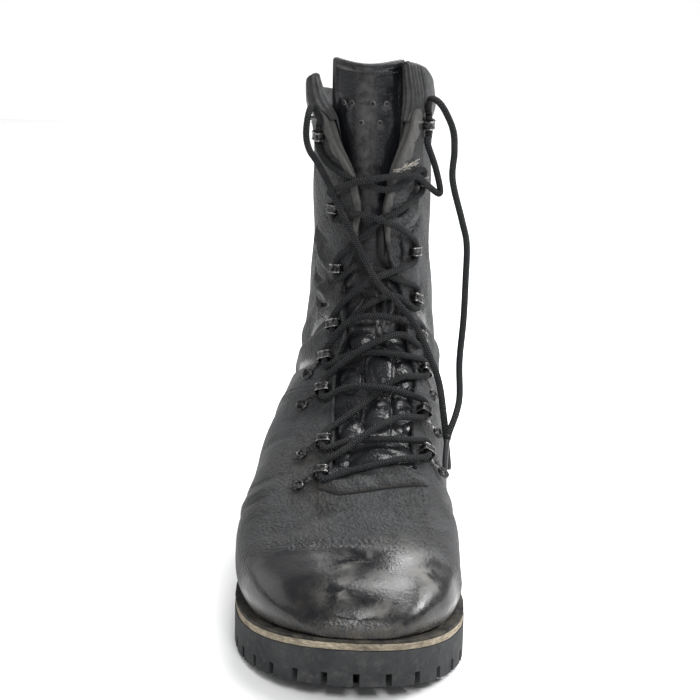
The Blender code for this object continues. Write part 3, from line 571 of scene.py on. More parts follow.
def plain_side(row, arc, side):
    """Points of the plain skin on one side, for arrays of section places and arcs from the ridge."""
    points, totals, starts = TABLE[side]
    total = np.interp(row, TABLE_ROWS, totals)
    a = np.clip(row / TOP_ROW, 0.0, 1.0) * (len(TABLE_ROWS) - 1)
    b = np.clip(arc / total, 0.0, 1.0) * (len(TABLE_SHARES) - 1)
    i = np.minimum(a.astype(int), len(TABLE_ROWS) - 2)
    j = np.minimum(b.astype(int), len(TABLE_SHARES) - 2)
    u = (a - i)[:, None]
    v = (b - j)[:, None]
    found = (points[i, j] * (1 - u) * (1 - v) + points[i + 1, j] * u * (1 - v)
             + points[i, j + 1] * (1 - u) * v + points[i + 1, j + 1] * u * v)
    start = np.interp(row, TABLE_ROWS, starts)
    band = np.minimum(eyestay_band(row), 0.3 * (total - start))
    column = np.where(arc < start, arc / np.maximum(start, 1e-6) * 3.0,
                      np.where(arc < start + band, 3.0 + (arc - start) / band * 3.0,
                               6.0 + (arc - start - band) / (total - start - band) * 9.0))
    share = ramp(row, float(CUFF_ROW), TOP_ROW)
    front = 1.0 - ramp(column, INNER_COLUMNS + 2.0, INNER_COLUMNS + 8.0)
    flank = np.sin(np.pi * np.clip((column - INNER_COLUMNS - 2.0) / (OUTER_COLUMNS - 1.0), 0.0, 1.0))
    drop = LATERAL_WING_DROP if side < 0 else MEDIAL_WING_DROP
    found[:, 2] -= share * (drop * front + RIM_DIP * flank)
    return found


def plain(row, q):
    """Points of the plain skin: q is the arc from the ridge, below zero on the lateral side."""
    row = np.asarray(row, float)
    q = np.asarray(q, float)
    shape = row.shape
    row = row.ravel()
    q = q.ravel()
    out = np.zeros((len(row), 3))
    for side in (-1, 1):
        pick = (q < 0.0) if side < 0 else (q >= 0.0)
        if pick.any():
            out[pick] = plain_side(row[pick], np.abs(q[pick]), side)
    return out.reshape(shape + (3,))


def wrap_back(row, q):
    """An arc that runs past the back seam goes on around the other side."""
    row = np.asarray(row, float)
    q = np.asarray(q, float)
    right = total_arc(row, 1)
    left = total_arc(row, -1)
    q = np.where(q > right, q - right - left, q)
    return np.where(q < -left, q + right + left, q)


def normals_at(row, q, closed):
    """Outward normals of the plain skin."""
    dr, dq = 0.06, 0.0012
    low, high = np.clip(row - dr, 0.0, TOP_ROW), np.clip(row + dr, 0.0, TOP_ROW)
    share = q / side_total(row, q)
    up = plain(high, whole_arc(high, share)) - plain(low, whole_arc(low, share))
    if closed:
        ahead, behind = wrap_back(row, q + dq), wrap_back(row, q - dq)
    else:
        ahead = np.clip(q + dq, -total_arc(row, -1), total_arc(row, 1))
        behind = np.clip(q - dq, -total_arc(row, -1), total_arc(row, 1))
    across = plain(row, ahead) - plain(row, behind)
    return unit(np.cross(across, up))


# Creases: soft troughs and ridges.  A share below zero is on the lateral side.

CREASES = (
    # depth mm (below zero is a ridge), width mm, points (row, share of that side's arc from the ridge)
    (1.3, 2.2, ((20.5, -0.30), (19.3, -0.20), (18.5, -0.12))),
    (-1.2, 2.2, ((20.0, -0.30), (18.9, -0.20), (18.0, -0.13))),
    (1.1, 2.0, ((19.4, -0.31), (18.2, -0.22), (17.5, -0.15))),
    (-1.9, 3.0, ((17.7, -0.19), (16.6, -0.15), (15.6, -0.11))),
    (1.5, 1.8, ((17.2, -0.22), (15.9, -0.18), (14.9, -0.12))),
    (1.2, 1.5, ((17.9, -0.15), (16.9, -0.12), (15.9, -0.08))),
    (2.4, 4.5, ((14.0, -0.12), (14.5, -0.24), (15.2, -0.38), (16.2, -0.55))),
    (-1.6, 4.5, ((13.2, -0.16), (13.5, -0.28), (14.2, -0.42), (15.0, -0.56))),
    (1.2, 3.0, ((12.3, -0.20), (12.9, -0.32), (13.6, -0.45))),
    (-1.2, 5.0, ((16.3, -0.26), (16.8, -0.40), (17.5, -0.55))),
    (1.3, 1.9, ((21.1, 0.20), (20.4, 0.14), (19.9, 0.09))),
    (-1.3, 2.2, ((20.9, 0.23), (20.2, 0.16), (19.6, 0.11))),
    (1.1, 1.7, ((20.5, 0.24), (19.8, 0.18), (19.1, 0.13))),
    (1.0, 1.5, ((19.3, 0.10), (18.5, 0.11), (17.8, 0.10))),
    (-1.9, 3.2, ((18.3, 0.18), (17.5, 0.155), (16.8, 0.13))),
    (1.4, 1.8, ((18.0, 0.22), (17.1, 0.19), (16.3, 0.15))),
    (1.8, 4.0, ((17.8, 0.48), (17.0, 0.37), (16.3, 0.26), (15.6, 0.17))),
    (-1.3, 4.0, ((16.6, 0.48), (15.9, 0.37), (15.2, 0.27), (14.6, 0.18))),
    (1.3, 3.2, ((15.3, 0.50), (14.5, 0.38), (13.9, 0.28))),
    (1.0, 5.0, ((12.0, -0.66), (13.5, -0.72), (15.5, -0.76))),
    (1.0, 5.0, ((12.0, 0.66), (13.5, 0.72), (15.5, 0.76))),
    (0.8, 2.6, ((7.75, -0.62), (7.55, -0.40), (7.62, -0.18), (7.78, 0.02))),
    (0.6, 1.5, ((7.85, 0.00), (7.72, 0.12), (7.74, 0.24), (7.9, 0.36))),
    (0.4, 1.1, ((7.70, 0.02), (7.58, 0.14), (7.60, 0.26))),
    (1.0, 4.0, ((7.15, -0.60), (6.95, -0.36), (6.92, -0.10), (7.02, 0.14), (7.2, 0.42))),
    (-0.9, 4.5, ((6.75, -0.55), (6.55, -0.30), (6.5, -0.05), (6.6, 0.20), (6.8, 0.45))),
    (0.7, 3.0, ((6.35, -0.45), (6.2, -0.20), (6.22, 0.05), (6.4, 0.34))),
    (0.8, 2.4, ((8.4, -0.42), (8.3, -0.55), (8.6, -0.75))),
    (0.7, 2.0, ((9.0, -0.36), (9.1, -0.52), (9.4, -0.70))),
    (-0.7, 2.6, ((8.7, -0.40), (8.7, -0.56), (9.0, -0.74))),
    (0.8, 2.2, ((8.6, 0.46), (8.7, 0.60), (9.0, 0.78))),
    (-0.7, 2.6, ((9.2, 0.44), (9.3, 0.60), (9.7, 0.78))),
    (0.9, 2.6, ((10.2, -0.30), (10.5, -0.42), (10.6, -0.60))),
    (1.5, 4.0, ((21.3, -0.86), (22.0, -0.84), (22.8, -0.86))),
    (1.2, 4.0, ((21.3, 0.74), (22.1, 0.72), (22.9, 0.76))),
    (-1.6, 5.0, ((23.2, -0.93), (24.0, -0.92), (25.0, -0.94))),
    (1.9, 4.0, ((23.1, -0.80), (24.0, -0.79), (25.0, -0.82))),
    (-1.6, 4.5, ((23.1, 0.97), (24.0, 0.98), (25.0, 0.95))),
    (1.9, 4.0, ((23.1, 0.88), (24.0, 0.87), (24.9, 0.89))),
    (-1.4, 4.5, ((23.2, 0.76), (24.0, 0.78), (24.8, 0.72))),
    (1.4, 3.5, ((23.1, 0.62), (23.9, 0.64), (24.8, 0.58))),
    (1.4, 3.5, ((23.1, -0.62), (23.9, -0.60), (24.8, -0.64))),
    (-1.2, 4.0, ((23.2, -0.70), (24.0, -0.69), (24.8, -0.73))),
)


def crease_lines():
    lines = []
    for depth, width, points in CREASES:
        t = np.linspace(0, len(points) - 1, 8 * len(points))
        rows = np.interp(t, range(len(points)), [p[0] for p in points])
        shares = np.interp(t, range(len(points)), [p[1] for p in points])
        q = whole_arc(rows, shares)
        deep = (2.5 if depth > 0.0 else 1.8) if 12.0 < points[0][0] < 22.0 else 1.15
        lines.append((deep * depth / 1000.0, width / 1000.0, plain(rows, q)))
    return lines


def crease_relief(points):
    relief = np.zeros(len(points))
    for depth, width, line in CREASE_LINES:
        low, high = line.min(axis=0) - 3.0 * width, line.max(axis=0) + 3.0 * width
        near = np.all((points > low) & (points < high), axis=1)
        if not near.any():
            continue
        p = points[near]
        best = np.full(len(p), 1e9)
        where = np.zeros(len(p))
        for k in range(len(line) - 1):
            a, b = line[k], line[k + 1]
            ab = b - a
            t = np.clip(((p - a) @ ab) / max(ab @ ab, 1e-12), 0.0, 1.0)
            d = np.linalg.norm(p - (a + t[:, None] * ab), axis=1)
            closer = d < best
            best[closer] = d[closer]
            where[closer] = (k + t[closer]) / (len(line) - 1)
        fade = np.sin(np.pi * np.clip(where, 0.02, 0.98)) ** 0.6
        relief[near] -= depth * fade * np.exp(-(best / width) ** 2)
    return relief


CREASE_LINES = crease_lines()


def pad_field(points):
    """How far inside the ankle pad a point lies: 0 on its rim, 1 in its middle."""
    level = float(feather(0.0)) + PAD_HEIGHT * UPPER_HEIGHT
    back = SOLE_LENGTH / 2.0 - 0.012
    around = np.abs(points[:, 0]) + np.clip(back - points[:, 1], 0.0, None) * 0.62
    tall = (points[:, 2] - level) / PAD_HALF_HEIGHT
    wide = around / PAD_HALF_WIDTH
    return 1.0 - (np.abs(tall) ** 2.6 + np.abs(wide) ** 2.6), tall


def body_relief(row, q, points):
    """All relief of the main skin over the plain one."""
    flat_row, flat_q = row.ravel(), q.ravel()
    p = points.reshape(-1, 3)
    inside, tall = pad_field(p)
    on = flat_row > CLOSED_ROW
    swell = ramp(inside, 0.0, 0.45)
    rib = np.abs(np.sin(np.pi * PAD_RIBS * np.clip((tall + 1.0) / 2.0, 0.0, 1.0))) ** 0.55
    relief = on * (PAD_FULLNESS * swell - 1.7 * RIB_GROOVE * (1.0 - rib) * ramp(inside, 0.05, 0.4))
    for place, width, height in ((0.02, 0.045, 0.0011), (-0.20, 0.050, 0.0008)):
        relief += on * height * np.exp(-((inside - place) / width) ** 2)
    relief -= on * 0.0010 * np.exp(-((inside + 0.09) / 0.045) ** 2)
    # the quarter lies over the vamp behind its seam
    share = np.abs(flat_q) / side_total(flat_row, flat_q)
    relief += SEAM_STEP * ramp(flat_row, quarter_seam(share) - 0.04, quarter_seam(share) + 0.04)
    # the toe box stands full over the welt, and the leather rolls in at its lower edge
    low = p[:, 2] - feather(p[:, 1])
    relief += 0.0024 * ramp(low, 0.0, 0.0045) * (1.0 - ramp(low, 0.006, 0.024)) * (flat_row < CLOSED_ROW)
    relief += 0.0005 * np.sin(3.7 * flat_row + 9.0 * share) * ramp(flat_row, 9.0, 11.0)
    relief += crease_relief(p)
    return relief.reshape(row.shape)


def quarter_seam(share):
    """Section place of the quarter's front edge, from the throat to the feather edge."""
    return 11.30 + 0.55 * ramp(share, 0.20, 0.50)


def skin(row, q, lift=0.0, closed=True):
    """Relief skin: points and normals."""
    base = plain(row, q)
    normal = normals_at(row, q, closed)
    height = body_relief(row, q, base) + lift
    return base + normal * height[..., None], normal


# Mesh helpers

def piece(name, mesh, material, body="root"):
    item = bpy.data.objects.new(name, mesh)
    bpy.context.scene.collection.objects.link(item)
    mesh.materials.append(material)
    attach(item, body)
    return item


def grid_mesh(name, grids, merge, smooth, marks):
    """One mesh of several point grids of shape rows x columns x 3."""
    mesh = bpy.data.meshes.new(name)
    faces = []
    base = 0
    for grid in grids:
        r, c = grid.shape[:2]
        index = np.arange(r * c).reshape(r, c) + base
        quad = np.stack([index[:-1, :-1], index[:-1, 1:], index[1:, 1:], index[1:, :-1]], axis=-1)
        faces.append(quad.reshape(-1, 4))
        base += r * c
    points = np.vstack([grid.reshape(-1, 3) for grid in grids])
    mesh.from_pydata(points.tolist(), [], np.vstack(faces).tolist())
    for key, value in (marks or {}).items():
        layer = mesh.attributes.new(key, "FLOAT", "POINT")
        layer.data.foreach_set("value", np.concatenate([np.ravel(v) for v in value]).astype(np.float32))
    bm = bmesh.new()
    bm.from_mesh(mesh)
    bmesh.ops.remove_doubles(bm, verts=bm.verts, dist=merge)
    bmesh.ops.recalc_face_normals(bm, faces=bm.faces)
    bm.to_mesh(mesh)
    bm.free()
    if smooth:
        mesh.shade_smooth()
    return mesh


def part(name, grids, material, merge=1e-7, marks=None, smooth=True):
    """A piece made of point grids."""
    item = piece(name, grid_mesh(name, grids, merge, smooth, marks), material)
    return item


def tube_grid(path, radius, sides=10, start=(0.0, 0.0, 1.0)):
    """Rings along a path, with a frame that doesn't twist; radius may vary along it."""
    path = np.asarray(path, float)
    tangent = unit(np.gradient(path, axis=0))
    radius = np.broadcast_to(radius, (len(path),))
    side = np.array(start, float)
    side -= tangent[0] * (side @ tangent[0])
    if np.linalg.norm(side) < 1e-6:
        side = np.array((1.0, 0.0, 0.0)) - tangent[0] * tangent[0][0]
    side /= np.linalg.norm(side)
    rings = np.zeros((len(path), sides + 1, 3))
    turn = np.linspace(0.0, 2.0 * math.pi, sides + 1)
    for k in range(len(path)):
        side = side - tangent[k] * (side @ tangent[k])
        side /= max(np.linalg.norm(side), 1e-12)
        other = np.cross(tangent[k], side)
        rings[k] = path[k] + radius[k] * (np.cos(turn)[:, None] * side + np.sin(turn)[:, None] * other)
    return rings


def cord_mesh(name, path, radius, sides=14):
    """A cord with its own texture run: u around it and v along it."""
    rings = tube_grid(path, radius, sides)
    lengths = arc_lengths(np.asarray(path))
    r, c = rings.shape[:2]
    bm = bmesh.new()
    layer = bm.loops.layers.uv.new("run")
    made = [[bm.verts.new(rings[i, j]) for j in range(c - 1)] for i in range(r)]
    for i in range(r - 1):
        for j in range(c - 1):
            n = (j + 1) % (c - 1)
            face = bm.faces.new((made[i][j], made[i][n], made[i + 1][n], made[i + 1][j]))
            face.smooth = True
            for loop, uv in zip(face.loops, ((j, i), (j + 1, i), (j + 1, i + 1), (j, i + 1))):
                loop[layer].uv = (uv[0] / (c - 1), lengths[uv[1]] / BRAID_PITCH)
    bm.faces.new(made[0])
    bm.faces.new(made[-1][::-1])
    bmesh.ops.recalc_face_normals(bm, faces=bm.faces)
    mesh = bpy.data.meshes.new(name)
    bm.to_mesh(mesh)
    bm.free()
    return mesh


def turned(profile, centre=0.0):
    """A profile of radius and height, turned about the local Z axis."""
    around = np.linspace(0.0, 2.0 * math.pi, 25)
    return np.array([[(centre + r * math.cos(a), r * math.sin(a), z) for a in around] for r, z in profile])


def quarter_round(t):
    """Height of a rounded edge: 0 at its foot, 1 where it runs level."""
    return np.sqrt(np.clip(1.0 - (1.0 - np.clip(t, 0.0, 1.0)) ** 2, 0.0, 1.0))


def even_marks(shape, **values):
    """Marks that a table by place isn't needed for; those not named are zero."""
    return {key: [np.zeros(shape) + values.get(key, 0.0)] for key in ("dirt", "polish", "scuff", "wear")}


def placed(points, matrix):
    m = np.array(matrix)
    flat = points.reshape(-1, 3) @ m[:3, :3].T + m[:3, 3]
    return flat.reshape(points.shape)


# Materials

class Build:
    """Short forms for a material's node tree."""

    def __init__(self, name):
        self.material = bpy.data.materials.new(name)
        self.material.use_nodes = True
        self.tree = self.material.node_tree
        self.shader = self.tree.nodes["Principled BSDF"]

    def put(self, socket, value):
        if isinstance(value, bpy.types.NodeSocket):
            self.tree.links.new(value, socket)
        else:
            socket.default_value = value

    def add(self, kind, **inputs):
        node = self.tree.nodes.new(kind)
        for key, value in inputs.items():
            self.put(node.inputs[key], value)
        return node

    def place(self, scale=(1.0, 1.0, 1.0)):
        coords = self.add("ShaderNodeTexCoord").outputs["Object"]
        return self.add("ShaderNodeMapping", Vector=coords, Scale=scale).outputs["Vector"]

    def noise(self, scale, detail=4.0, rough=0.55, where=None, distortion=0.0):
        return self.add("ShaderNodeTexNoise", Scale=scale, Detail=detail, Roughness=rough,
                        Distortion=distortion, Vector=where or self.place()).outputs["Fac"]

    def ramp(self, value, low, high, dark=0.0, bright=1.0):
        node = self.add("ShaderNodeValToRGB", Fac=value)
        for element, at, grey in zip(node.color_ramp.elements, (low, high), (dark, bright)):
            element.position = at
            element.color = (*np.broadcast_to(grey, 3), 1.0)
        return node.outputs["Color"]

    def math(self, op, a, b=0.0, clamp=False):
        node = self.add("ShaderNodeMath")
        node.operation = op
        node.use_clamp = clamp
        self.put(node.inputs[0], a)
        self.put(node.inputs[1], b)
        return node.outputs[0]

    def times(self, a, b, clamp=False):
        return self.math("MULTIPLY", a, b, clamp)

    def plus(self, a, b, clamp=False):
        return self.math("ADD", a, b, clamp)

    def mix(self, factor, a, b):
        node = self.add("ShaderNodeMix")
        node.data_type = "RGBA"
        for key, kind, value in (("Factor", "VALUE", factor), ("A", "RGBA", a), ("B", "RGBA", b)):
            socket = next(s for s in node.inputs if s.name == key and s.type == kind)
            self.put(socket, (*value, 1.0) if isinstance(value, tuple) else value)
        return next(s for s in node.outputs if s.type == "RGBA")

    def mark(self, name):
        node = self.add("ShaderNodeAttribute")
        node.attribute_name = name
        return node.outputs["Fac"]

    def bump(self, height, strength, distance, under=None):
        node = self.add("ShaderNodeBump", Height=height, Strength=strength, Distance=distance)
        if under is not None:
            self.put(node.inputs["Normal"], under)
        return node.outputs["Normal"]

    def finish(self, colour, rough, normal=None, **values):
        self.put(self.shader.inputs["Base Color"], (*colour, 1.0) if isinstance(colour, tuple) else colour)
        self.put(self.shader.inputs["Roughness"], rough)
        if normal is not None:
            self.put(self.shader.inputs["Normal"], normal)
        for key, value in values.items():
            self.put(self.shader.inputs[key.replace("_", " ")], value)
        return self.material


def leather_material(name, dark=(0.0045, 0.0048, 0.0054), light=(0.026, 0.027, 0.029), base_rough=0.50,
                     grain=0.80, fold=0.60, stretch=(1.0, 1.0, 1.7)):
    b = Build(name)
    where = b.place()
    cloud = b.noise(38.0, 6.0, 0.6, where)
    polish = b.mark("polish")
    colour = b.mix(b.ramp(cloud, 0.38, 0.64), dark, light)
    blotch = b.ramp(b.noise(115.0, 5.0, 0.62, where), 0.38, 0.64)
    colour = b.mix(b.times(blotch, 0.40), colour, tuple(1.5 * c for c in light))
    # lighter grey: wear on edges, seams and pads, and painted highlight on crease ridges and the tongue's
    # middle band
    wear = b.times(b.mark("wear"), b.ramp(b.noise(240.0, 5.0, 0.6, where), 0.36, 0.62, 0.10), True)
    colour = b.mix(wear, colour, (0.072, 0.071, 0.068))
    # darker and glossier: polish on the toe, and painted shade in crease troughs and on the tongue's sides
    colour = b.mix(b.times(polish, 0.90), colour, (0.0030, 0.0033, 0.0046))
    scuff = b.times(b.mark("scuff"),
                   b.ramp(b.noise(75.0, 8.0, 0.70, where, 0.5), 0.44, 0.60), True)
    colour = b.mix(scuff, colour, (0.098, 0.096, 0.088))
    dirt = b.times(b.mark("dirt"), b.ramp(b.noise(150.0, 7.0, 0.68, where), 0.38, 0.66), True)
    colour = b.mix(dirt, colour, (0.072, 0.062, 0.048))
    rough = b.plus(b.times(cloud, 0.22), base_rough - 0.10)
    rough = b.math("SUBTRACT", rough, b.times(polish, 0.31), True)
    rough = b.plus(rough, b.times(b.plus(wear, b.plus(scuff, dirt)), 0.28), True)
    smoothing = b.math("SUBTRACT", 1.0, b.times(polish, 0.94), True)
    cells = b.add("ShaderNodeTexVoronoi", Scale=620.0, Vector=where).outputs["Distance"]
    pebble = b.times(b.plus(cells, b.times(b.noise(1500.0, 3.0, 0.6, where), 0.5)), smoothing)
    folds = b.noise(120.0, 6.0, 0.66, b.place(stretch), 0.8)
    soft = b.bump(b.times(folds, smoothing), fold, 0.0026)
    normal = b.bump(pebble, grain, 0.0009, soft)
    shine = b.plus(b.times(polish, 0.14), 0.24)
    return b.finish(colour, rough, normal, Specular_IOR_Level=shine)


def rubber_material():
    b = Build("rubber_worn")
    where = b.place()
    cloud = b.noise(60.0, 6.0, 0.65, where)
    colour = b.mix(b.ramp(cloud, 0.3, 0.7), (0.014, 0.015, 0.0165), (0.036, 0.037, 0.038))
    dust = b.ramp(b.noise(210.0, 7.0, 0.7, where), 0.52, 0.74)
    colour = b.mix(b.times(dust, 0.45), colour, (0.085, 0.083, 0.074))
    normal = b.bump(b.noise(520.0, 6.0, 0.7, where), 0.45, 0.0009)
    return b.finish(colour, 0.82, normal, Specular_IOR_Level=0.25)


def edge_material():
    b = Build("raw_edge")
    where = b.place((1.0, 1.0, 4.0))
    fibre = b.noise(260.0, 7.0, 0.75, where, 0.4)
    stain = b.noise(38.0, 6.0, 0.65)
    colour = b.mix(b.ramp(fibre, 0.34, 0.66), (0.18, 0.150, 0.108), (0.58, 0.505, 0.380))
    colour = b.mix(b.times(b.ramp(stain, 0.48, 0.66), 0.75), colour, (0.045, 0.040, 0.033))
    normal = b.bump(fibre, 1.0, 0.0020)
    return b.finish(colour, 0.95, normal, Specular_IOR_Level=0.15)


def welt_material():
    b = Build("welt_dirty")
    where = b.place()
    colour = b.mix(b.ramp(b.noise(110.0, 7.0, 0.68, where), 0.40, 0.68), (0.012, 0.012, 0.012),
                   (0.070, 0.062, 0.050))
    normal = b.bump(b.noise(420.0, 6.0, 0.7, where), 0.7, 0.0012)
    return b.finish(colour, 0.85, normal, Specular_IOR_Level=0.2)


def metal_material(name, dark, bright, rough):
    b = Build(name)
    where = b.place()
    worn = b.ramp(b.noise(520.0, 6.0, 0.65, where), 0.42, 0.60)
    colour = b.mix(worn, dark, bright)
    normal = b.bump(b.noise(1500.0, 4.0, 0.6, where), 0.12, 0.0003)
    return b.finish(colour, b.plus(b.times(worn, -0.15), rough + 0.1), normal, Metallic=1.0)


def lace_material():
    b = Build("lace_braid")
    run = b.add("ShaderNodeTexCoord").outputs["UV"]
    split = b.add("ShaderNodeSeparateXYZ", Vector=run)
    around = b.times(split.outputs[0], 2.0 * math.pi * 2.0)
    forward = b.times(split.outputs[1], 2.0 * math.pi)
    one = b.math("SINE", b.plus(around, forward))
    two = b.math("SINE", b.math("SUBTRACT", around, forward))
    braid = b.math("ABSOLUTE", b.times(one, two))
    fuzz = b.noise(1900.0, 4.0, 0.65)
    colour = b.mix(b.ramp(braid, 0.02, 0.80), (0.010, 0.0105, 0.011), (0.042, 0.0435, 0.046))
    colour = b.mix(b.times(b.ramp(b.noise(90.0, 5.0, 0.6), 0.5, 0.75), 0.30), colour,
                   (0.070, 0.066, 0.060))
    normal = b.bump(b.plus(braid, b.times(fuzz, 0.45)), 1.0, 0.0011)
    return b.finish(colour, 0.90, normal, Specular_IOR_Level=0.12)


def plain_material(name, colour, rough, bump=0.2, scale=600.0):
    b = Build(name)
    tone = np.array(colour)
    shade = b.ramp(b.noise(scale * 0.3, 5.0, 0.6), 0.3, 0.7, tone * 0.75, tone * 1.2)
    return b.finish(shade, rough, b.bump(b.noise(scale, 5.0, 0.65), bump, 0.0005))


LEATHER = leather_material("black_leather_worn")
WRINKLED = leather_material("wrinkled_leather", base_rough=0.46, grain=0.4, fold=1.0,
                            stretch=(0.45, 0.45, 2.6))
CUFF_LEATHER = leather_material("cuff_leather", base_rough=0.44, grain=0.20, fold=0.40)
TONGUE_LEATHER = leather_material("tongue_leather", (0.0045, 0.0048, 0.0055), (0.014, 0.0145, 0.016),
                                  0.36, 0.26, 0.12)
RUBBER = rubber_material()
EDGE = edge_material()
WELT_MATERIAL = welt_material()
DARK_METAL = metal_material("gunmetal_worn", (0.010, 0.010, 0.011), (0.075, 0.075, 0.073), 0.38)
# brighter copy of the metal for the holders' rims: painted highlight
RIM_HIGHLIGHT_METAL = metal_material("metal_rims_painted_highlight", (0.05, 0.05, 0.049), (0.30, 0.295, 0.285), 0.28)
LACE = lace_material()
THREAD = plain_material("thread", (0.022, 0.022, 0.023), 0.85, 0.3, 1800.0)
# light grey: worn piping, and painted highlight on the rims of the tongue's vents
WORN_EDGE_AND_PAINTED_HIGHLIGHT = plain_material("worn_piping_and_painted_highlight", (0.085, 0.083, 0.078), 0.80, 0.6, 900.0)
SUEDE = plain_material("grey_suede", (0.060, 0.059, 0.056), 0.95, 0.9, 1100.0)
FRAYED = plain_material("frayed_cream", (0.26, 0.25, 0.22), 0.95, 1.0, 1500.0)
# near black: dark seams, and painted shade for the lining and the holes
DARK_SEAM_AND_PAINTED_SHADE = plain_material("dark_seam_and_painted_shade", (0.004, 0.004, 0.004), 0.90, 0.1, 500.0)
LINING = plain_material("lining_leather", (0.34, 0.215, 0.095), 0.72, 0.30, 420.0)


# Cords first

def make_lace():
    """The crossings with the photo's slack at the top pair, then the two free ends with their tips."""
    route = lace_route()
    upper, lower = LACE_DIAMETER + 0.0034, 0.0022
    first = [clear_point(row, x / 1000.0, lower) for row, x in ((21.70, -17.0), (21.22, -4.8), (20.95, 12.4))]
    last = [clear_point(row, x / 1000.0, upper) for row, x in ((20.95, -12.0), (21.25, 2.4), (21.45, 20.0))]
    last += [(0.0335, 0.0450, 0.2165), (0.0410, 0.0490, 0.2110), (0.0385, 0.0505, 0.2240),
             (0.0335, 0.0512, 0.2380)]
    route = route[:3] + first + route[6:-6] + last + route[-3:]
    path = smooth_path(route, CORD_STEP)
    crossings = piece("lace_in_eyelets", cord_mesh("lace_in_eyelets", path, LACE_DIAMETER / 2.0), LACE)
    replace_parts(crossings, "lace_crossings")
    for name, node, last, before, points in (
            ("lace_tail_lateral", "lace_end_lateral", route[0], route[1], LATERAL_END),
            ("lace_tail_medial", "lace_end_medial", route[-1], route[-2], MEDIAL_END)):
        line = smooth_path(free_end(last, before, points), CORD_STEP)
        lengths = arc_lengths(line)
        body = line[lengths <= lengths[-1] - AGLET_LENGTH + 0.004]
        cord = piece(name, cord_mesh(name, body, LACE_DIAMETER / 2.0), LACE)
        end = line[lengths >= lengths[-1] - AGLET_LENGTH]
        taper = np.interp(np.linspace(0, 1, len(end)), (0.0, 0.05, 0.9, 1.0), (1.04, 0.88, 0.82, 0.60))
        tip = cord_mesh(name + "_aglet", end, LACE_DIAMETER / 2.0 * taper, 12)
        aglet = piece(name + "_aglet", tip, AGLET)
        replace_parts(cord, node)


AGLET = plain_material("aglet_plastic", (0.020, 0.020, 0.022), 0.35, 0.05, 400.0)
make_lace()


# Upper

def side_q(share, row, side):
    """Arc for a share of the way from the throat's edge to the back or feather edge."""
    start = throat_arc(row, side)
    return side * (start + (total_arc(row, side) - start) * share)


SCUFFS = (
    # row, share (below zero is lateral), radius mm, strength
    (6.00, 0.20, 9.0, 1.0),
    (5.60, 0.33, 8.0, 0.9),
    (4.70, 0.46, 9.0, 1.0),
    (3.60, 0.52, 8.0, 0.9),
    (4.70, -0.17, 8.0, 1.0),
    (2.90, -0.19, 9.0, 0.9),
    (5.30, -0.05, 8.0, 0.7),
    (3.40, 0.22, 9.0, 0.8),
    (1.80, 0.30, 9.0, 0.7),
    (7.05, -0.30, 9.0, 0.35),
)


def spots(points, table):
    found = np.zeros(points.shape[:-1])
    for row, share, radius, strength in table:
        side = -1 if share < 0 else 1
        centre = plain(np.array([row]), np.array([share]) * total_arc(row, side))[0]
        away = np.linalg.norm(points - centre, axis=-1) / (radius / 1000.0)
        found = np.maximum(found, strength * np.exp(-away ** 2))
    return found


def marks_for(points, row, q):
    """Wear, scuffs, dirt and polish by place on the boot; crease ridges also get a painted highlight and crease
    troughs painted shade.
    """
    y, z = points[..., 1], points[..., 2]
    low = z - feather(y)
    toe_polish_and_crease_shade = ramp(along(y), 0.795, 0.855) * ramp(low, 0.002, 0.012)
    dirt = 0.75 * (1.0 - ramp(low, 0.001, 0.014)) + 0.16 * (1.0 - ramp(low, 0.01, 0.05))
    dirt = dirt + 0.30 * spots(points, ((8.3, -0.27, 14.0, 1.0), (9.4, -0.30, 16.0, 1.0)))
    heel = ramp(y, 0.085, 0.135) * (1.0 - ramp(low, 0.035, 0.085)) * ramp(low, 0.002, 0.010)
    scuff = np.maximum(spots(points, SCUFFS), 0.50 * heel)
    wear = 0.14 + 0.10 * ramp(low, 0.02, 0.10) * (1.0 - toe_polish_and_crease_shade) * (along(y) > 0.6)
    inside, _ = pad_field(points.reshape(-1, 3))
    rim = np.exp(-((inside - 0.02) / 0.06) ** 2) * (row.ravel() > CLOSED_ROW)
    wear = np.maximum(wear, 0.80 * rim.reshape(wear.shape))
    share = np.abs(q) / side_total(row, q)
    edge = np.exp(-((row - quarter_seam(share) - 0.02) / 0.05) ** 2)
    wear = np.maximum(wear, 0.60 * edge)
    relief = crease_relief(points.reshape(-1, 3)).reshape(wear.shape)
    shaft = ramp(row, 12.0, 13.0)
    # crease ridges lighter: wear and painted highlight
    wear = np.maximum(wear, (0.35 + 0.45 * shaft) * ramp(relief, 0.0002, 0.0020))
    # crease troughs darker: painted shade
    toe_polish_and_crease_shade = np.maximum(toe_polish_and_crease_shade, (0.35 + 0.45 * shaft) * ramp(-relief, 0.0003, 0.0022))
    return {"dirt": dirt, "polish": toe_polish_and_crease_shade, "scuff": scuff, "wear": wear}


def skin_piece(name, row, q, closed):
    points, _ = skin(row, q, 0.0, closed)
    if not closed:
        # the toe's middle line runs straight between its neighbours
        points[0] = (points[0] + points[0, ::-1]) / 2.0
        mid = points.shape[1] // 2
        for k in (-2, -1, 0, 1, 2):
            share = (k + 3.0) / 6.0
            points[:, mid + k] = points[:, mid - 3] * (1.0 - share) + points[:, mid + 3] * share
    return part(name, [points], LEATHER, 2e-5, marks_for(points, row, q))


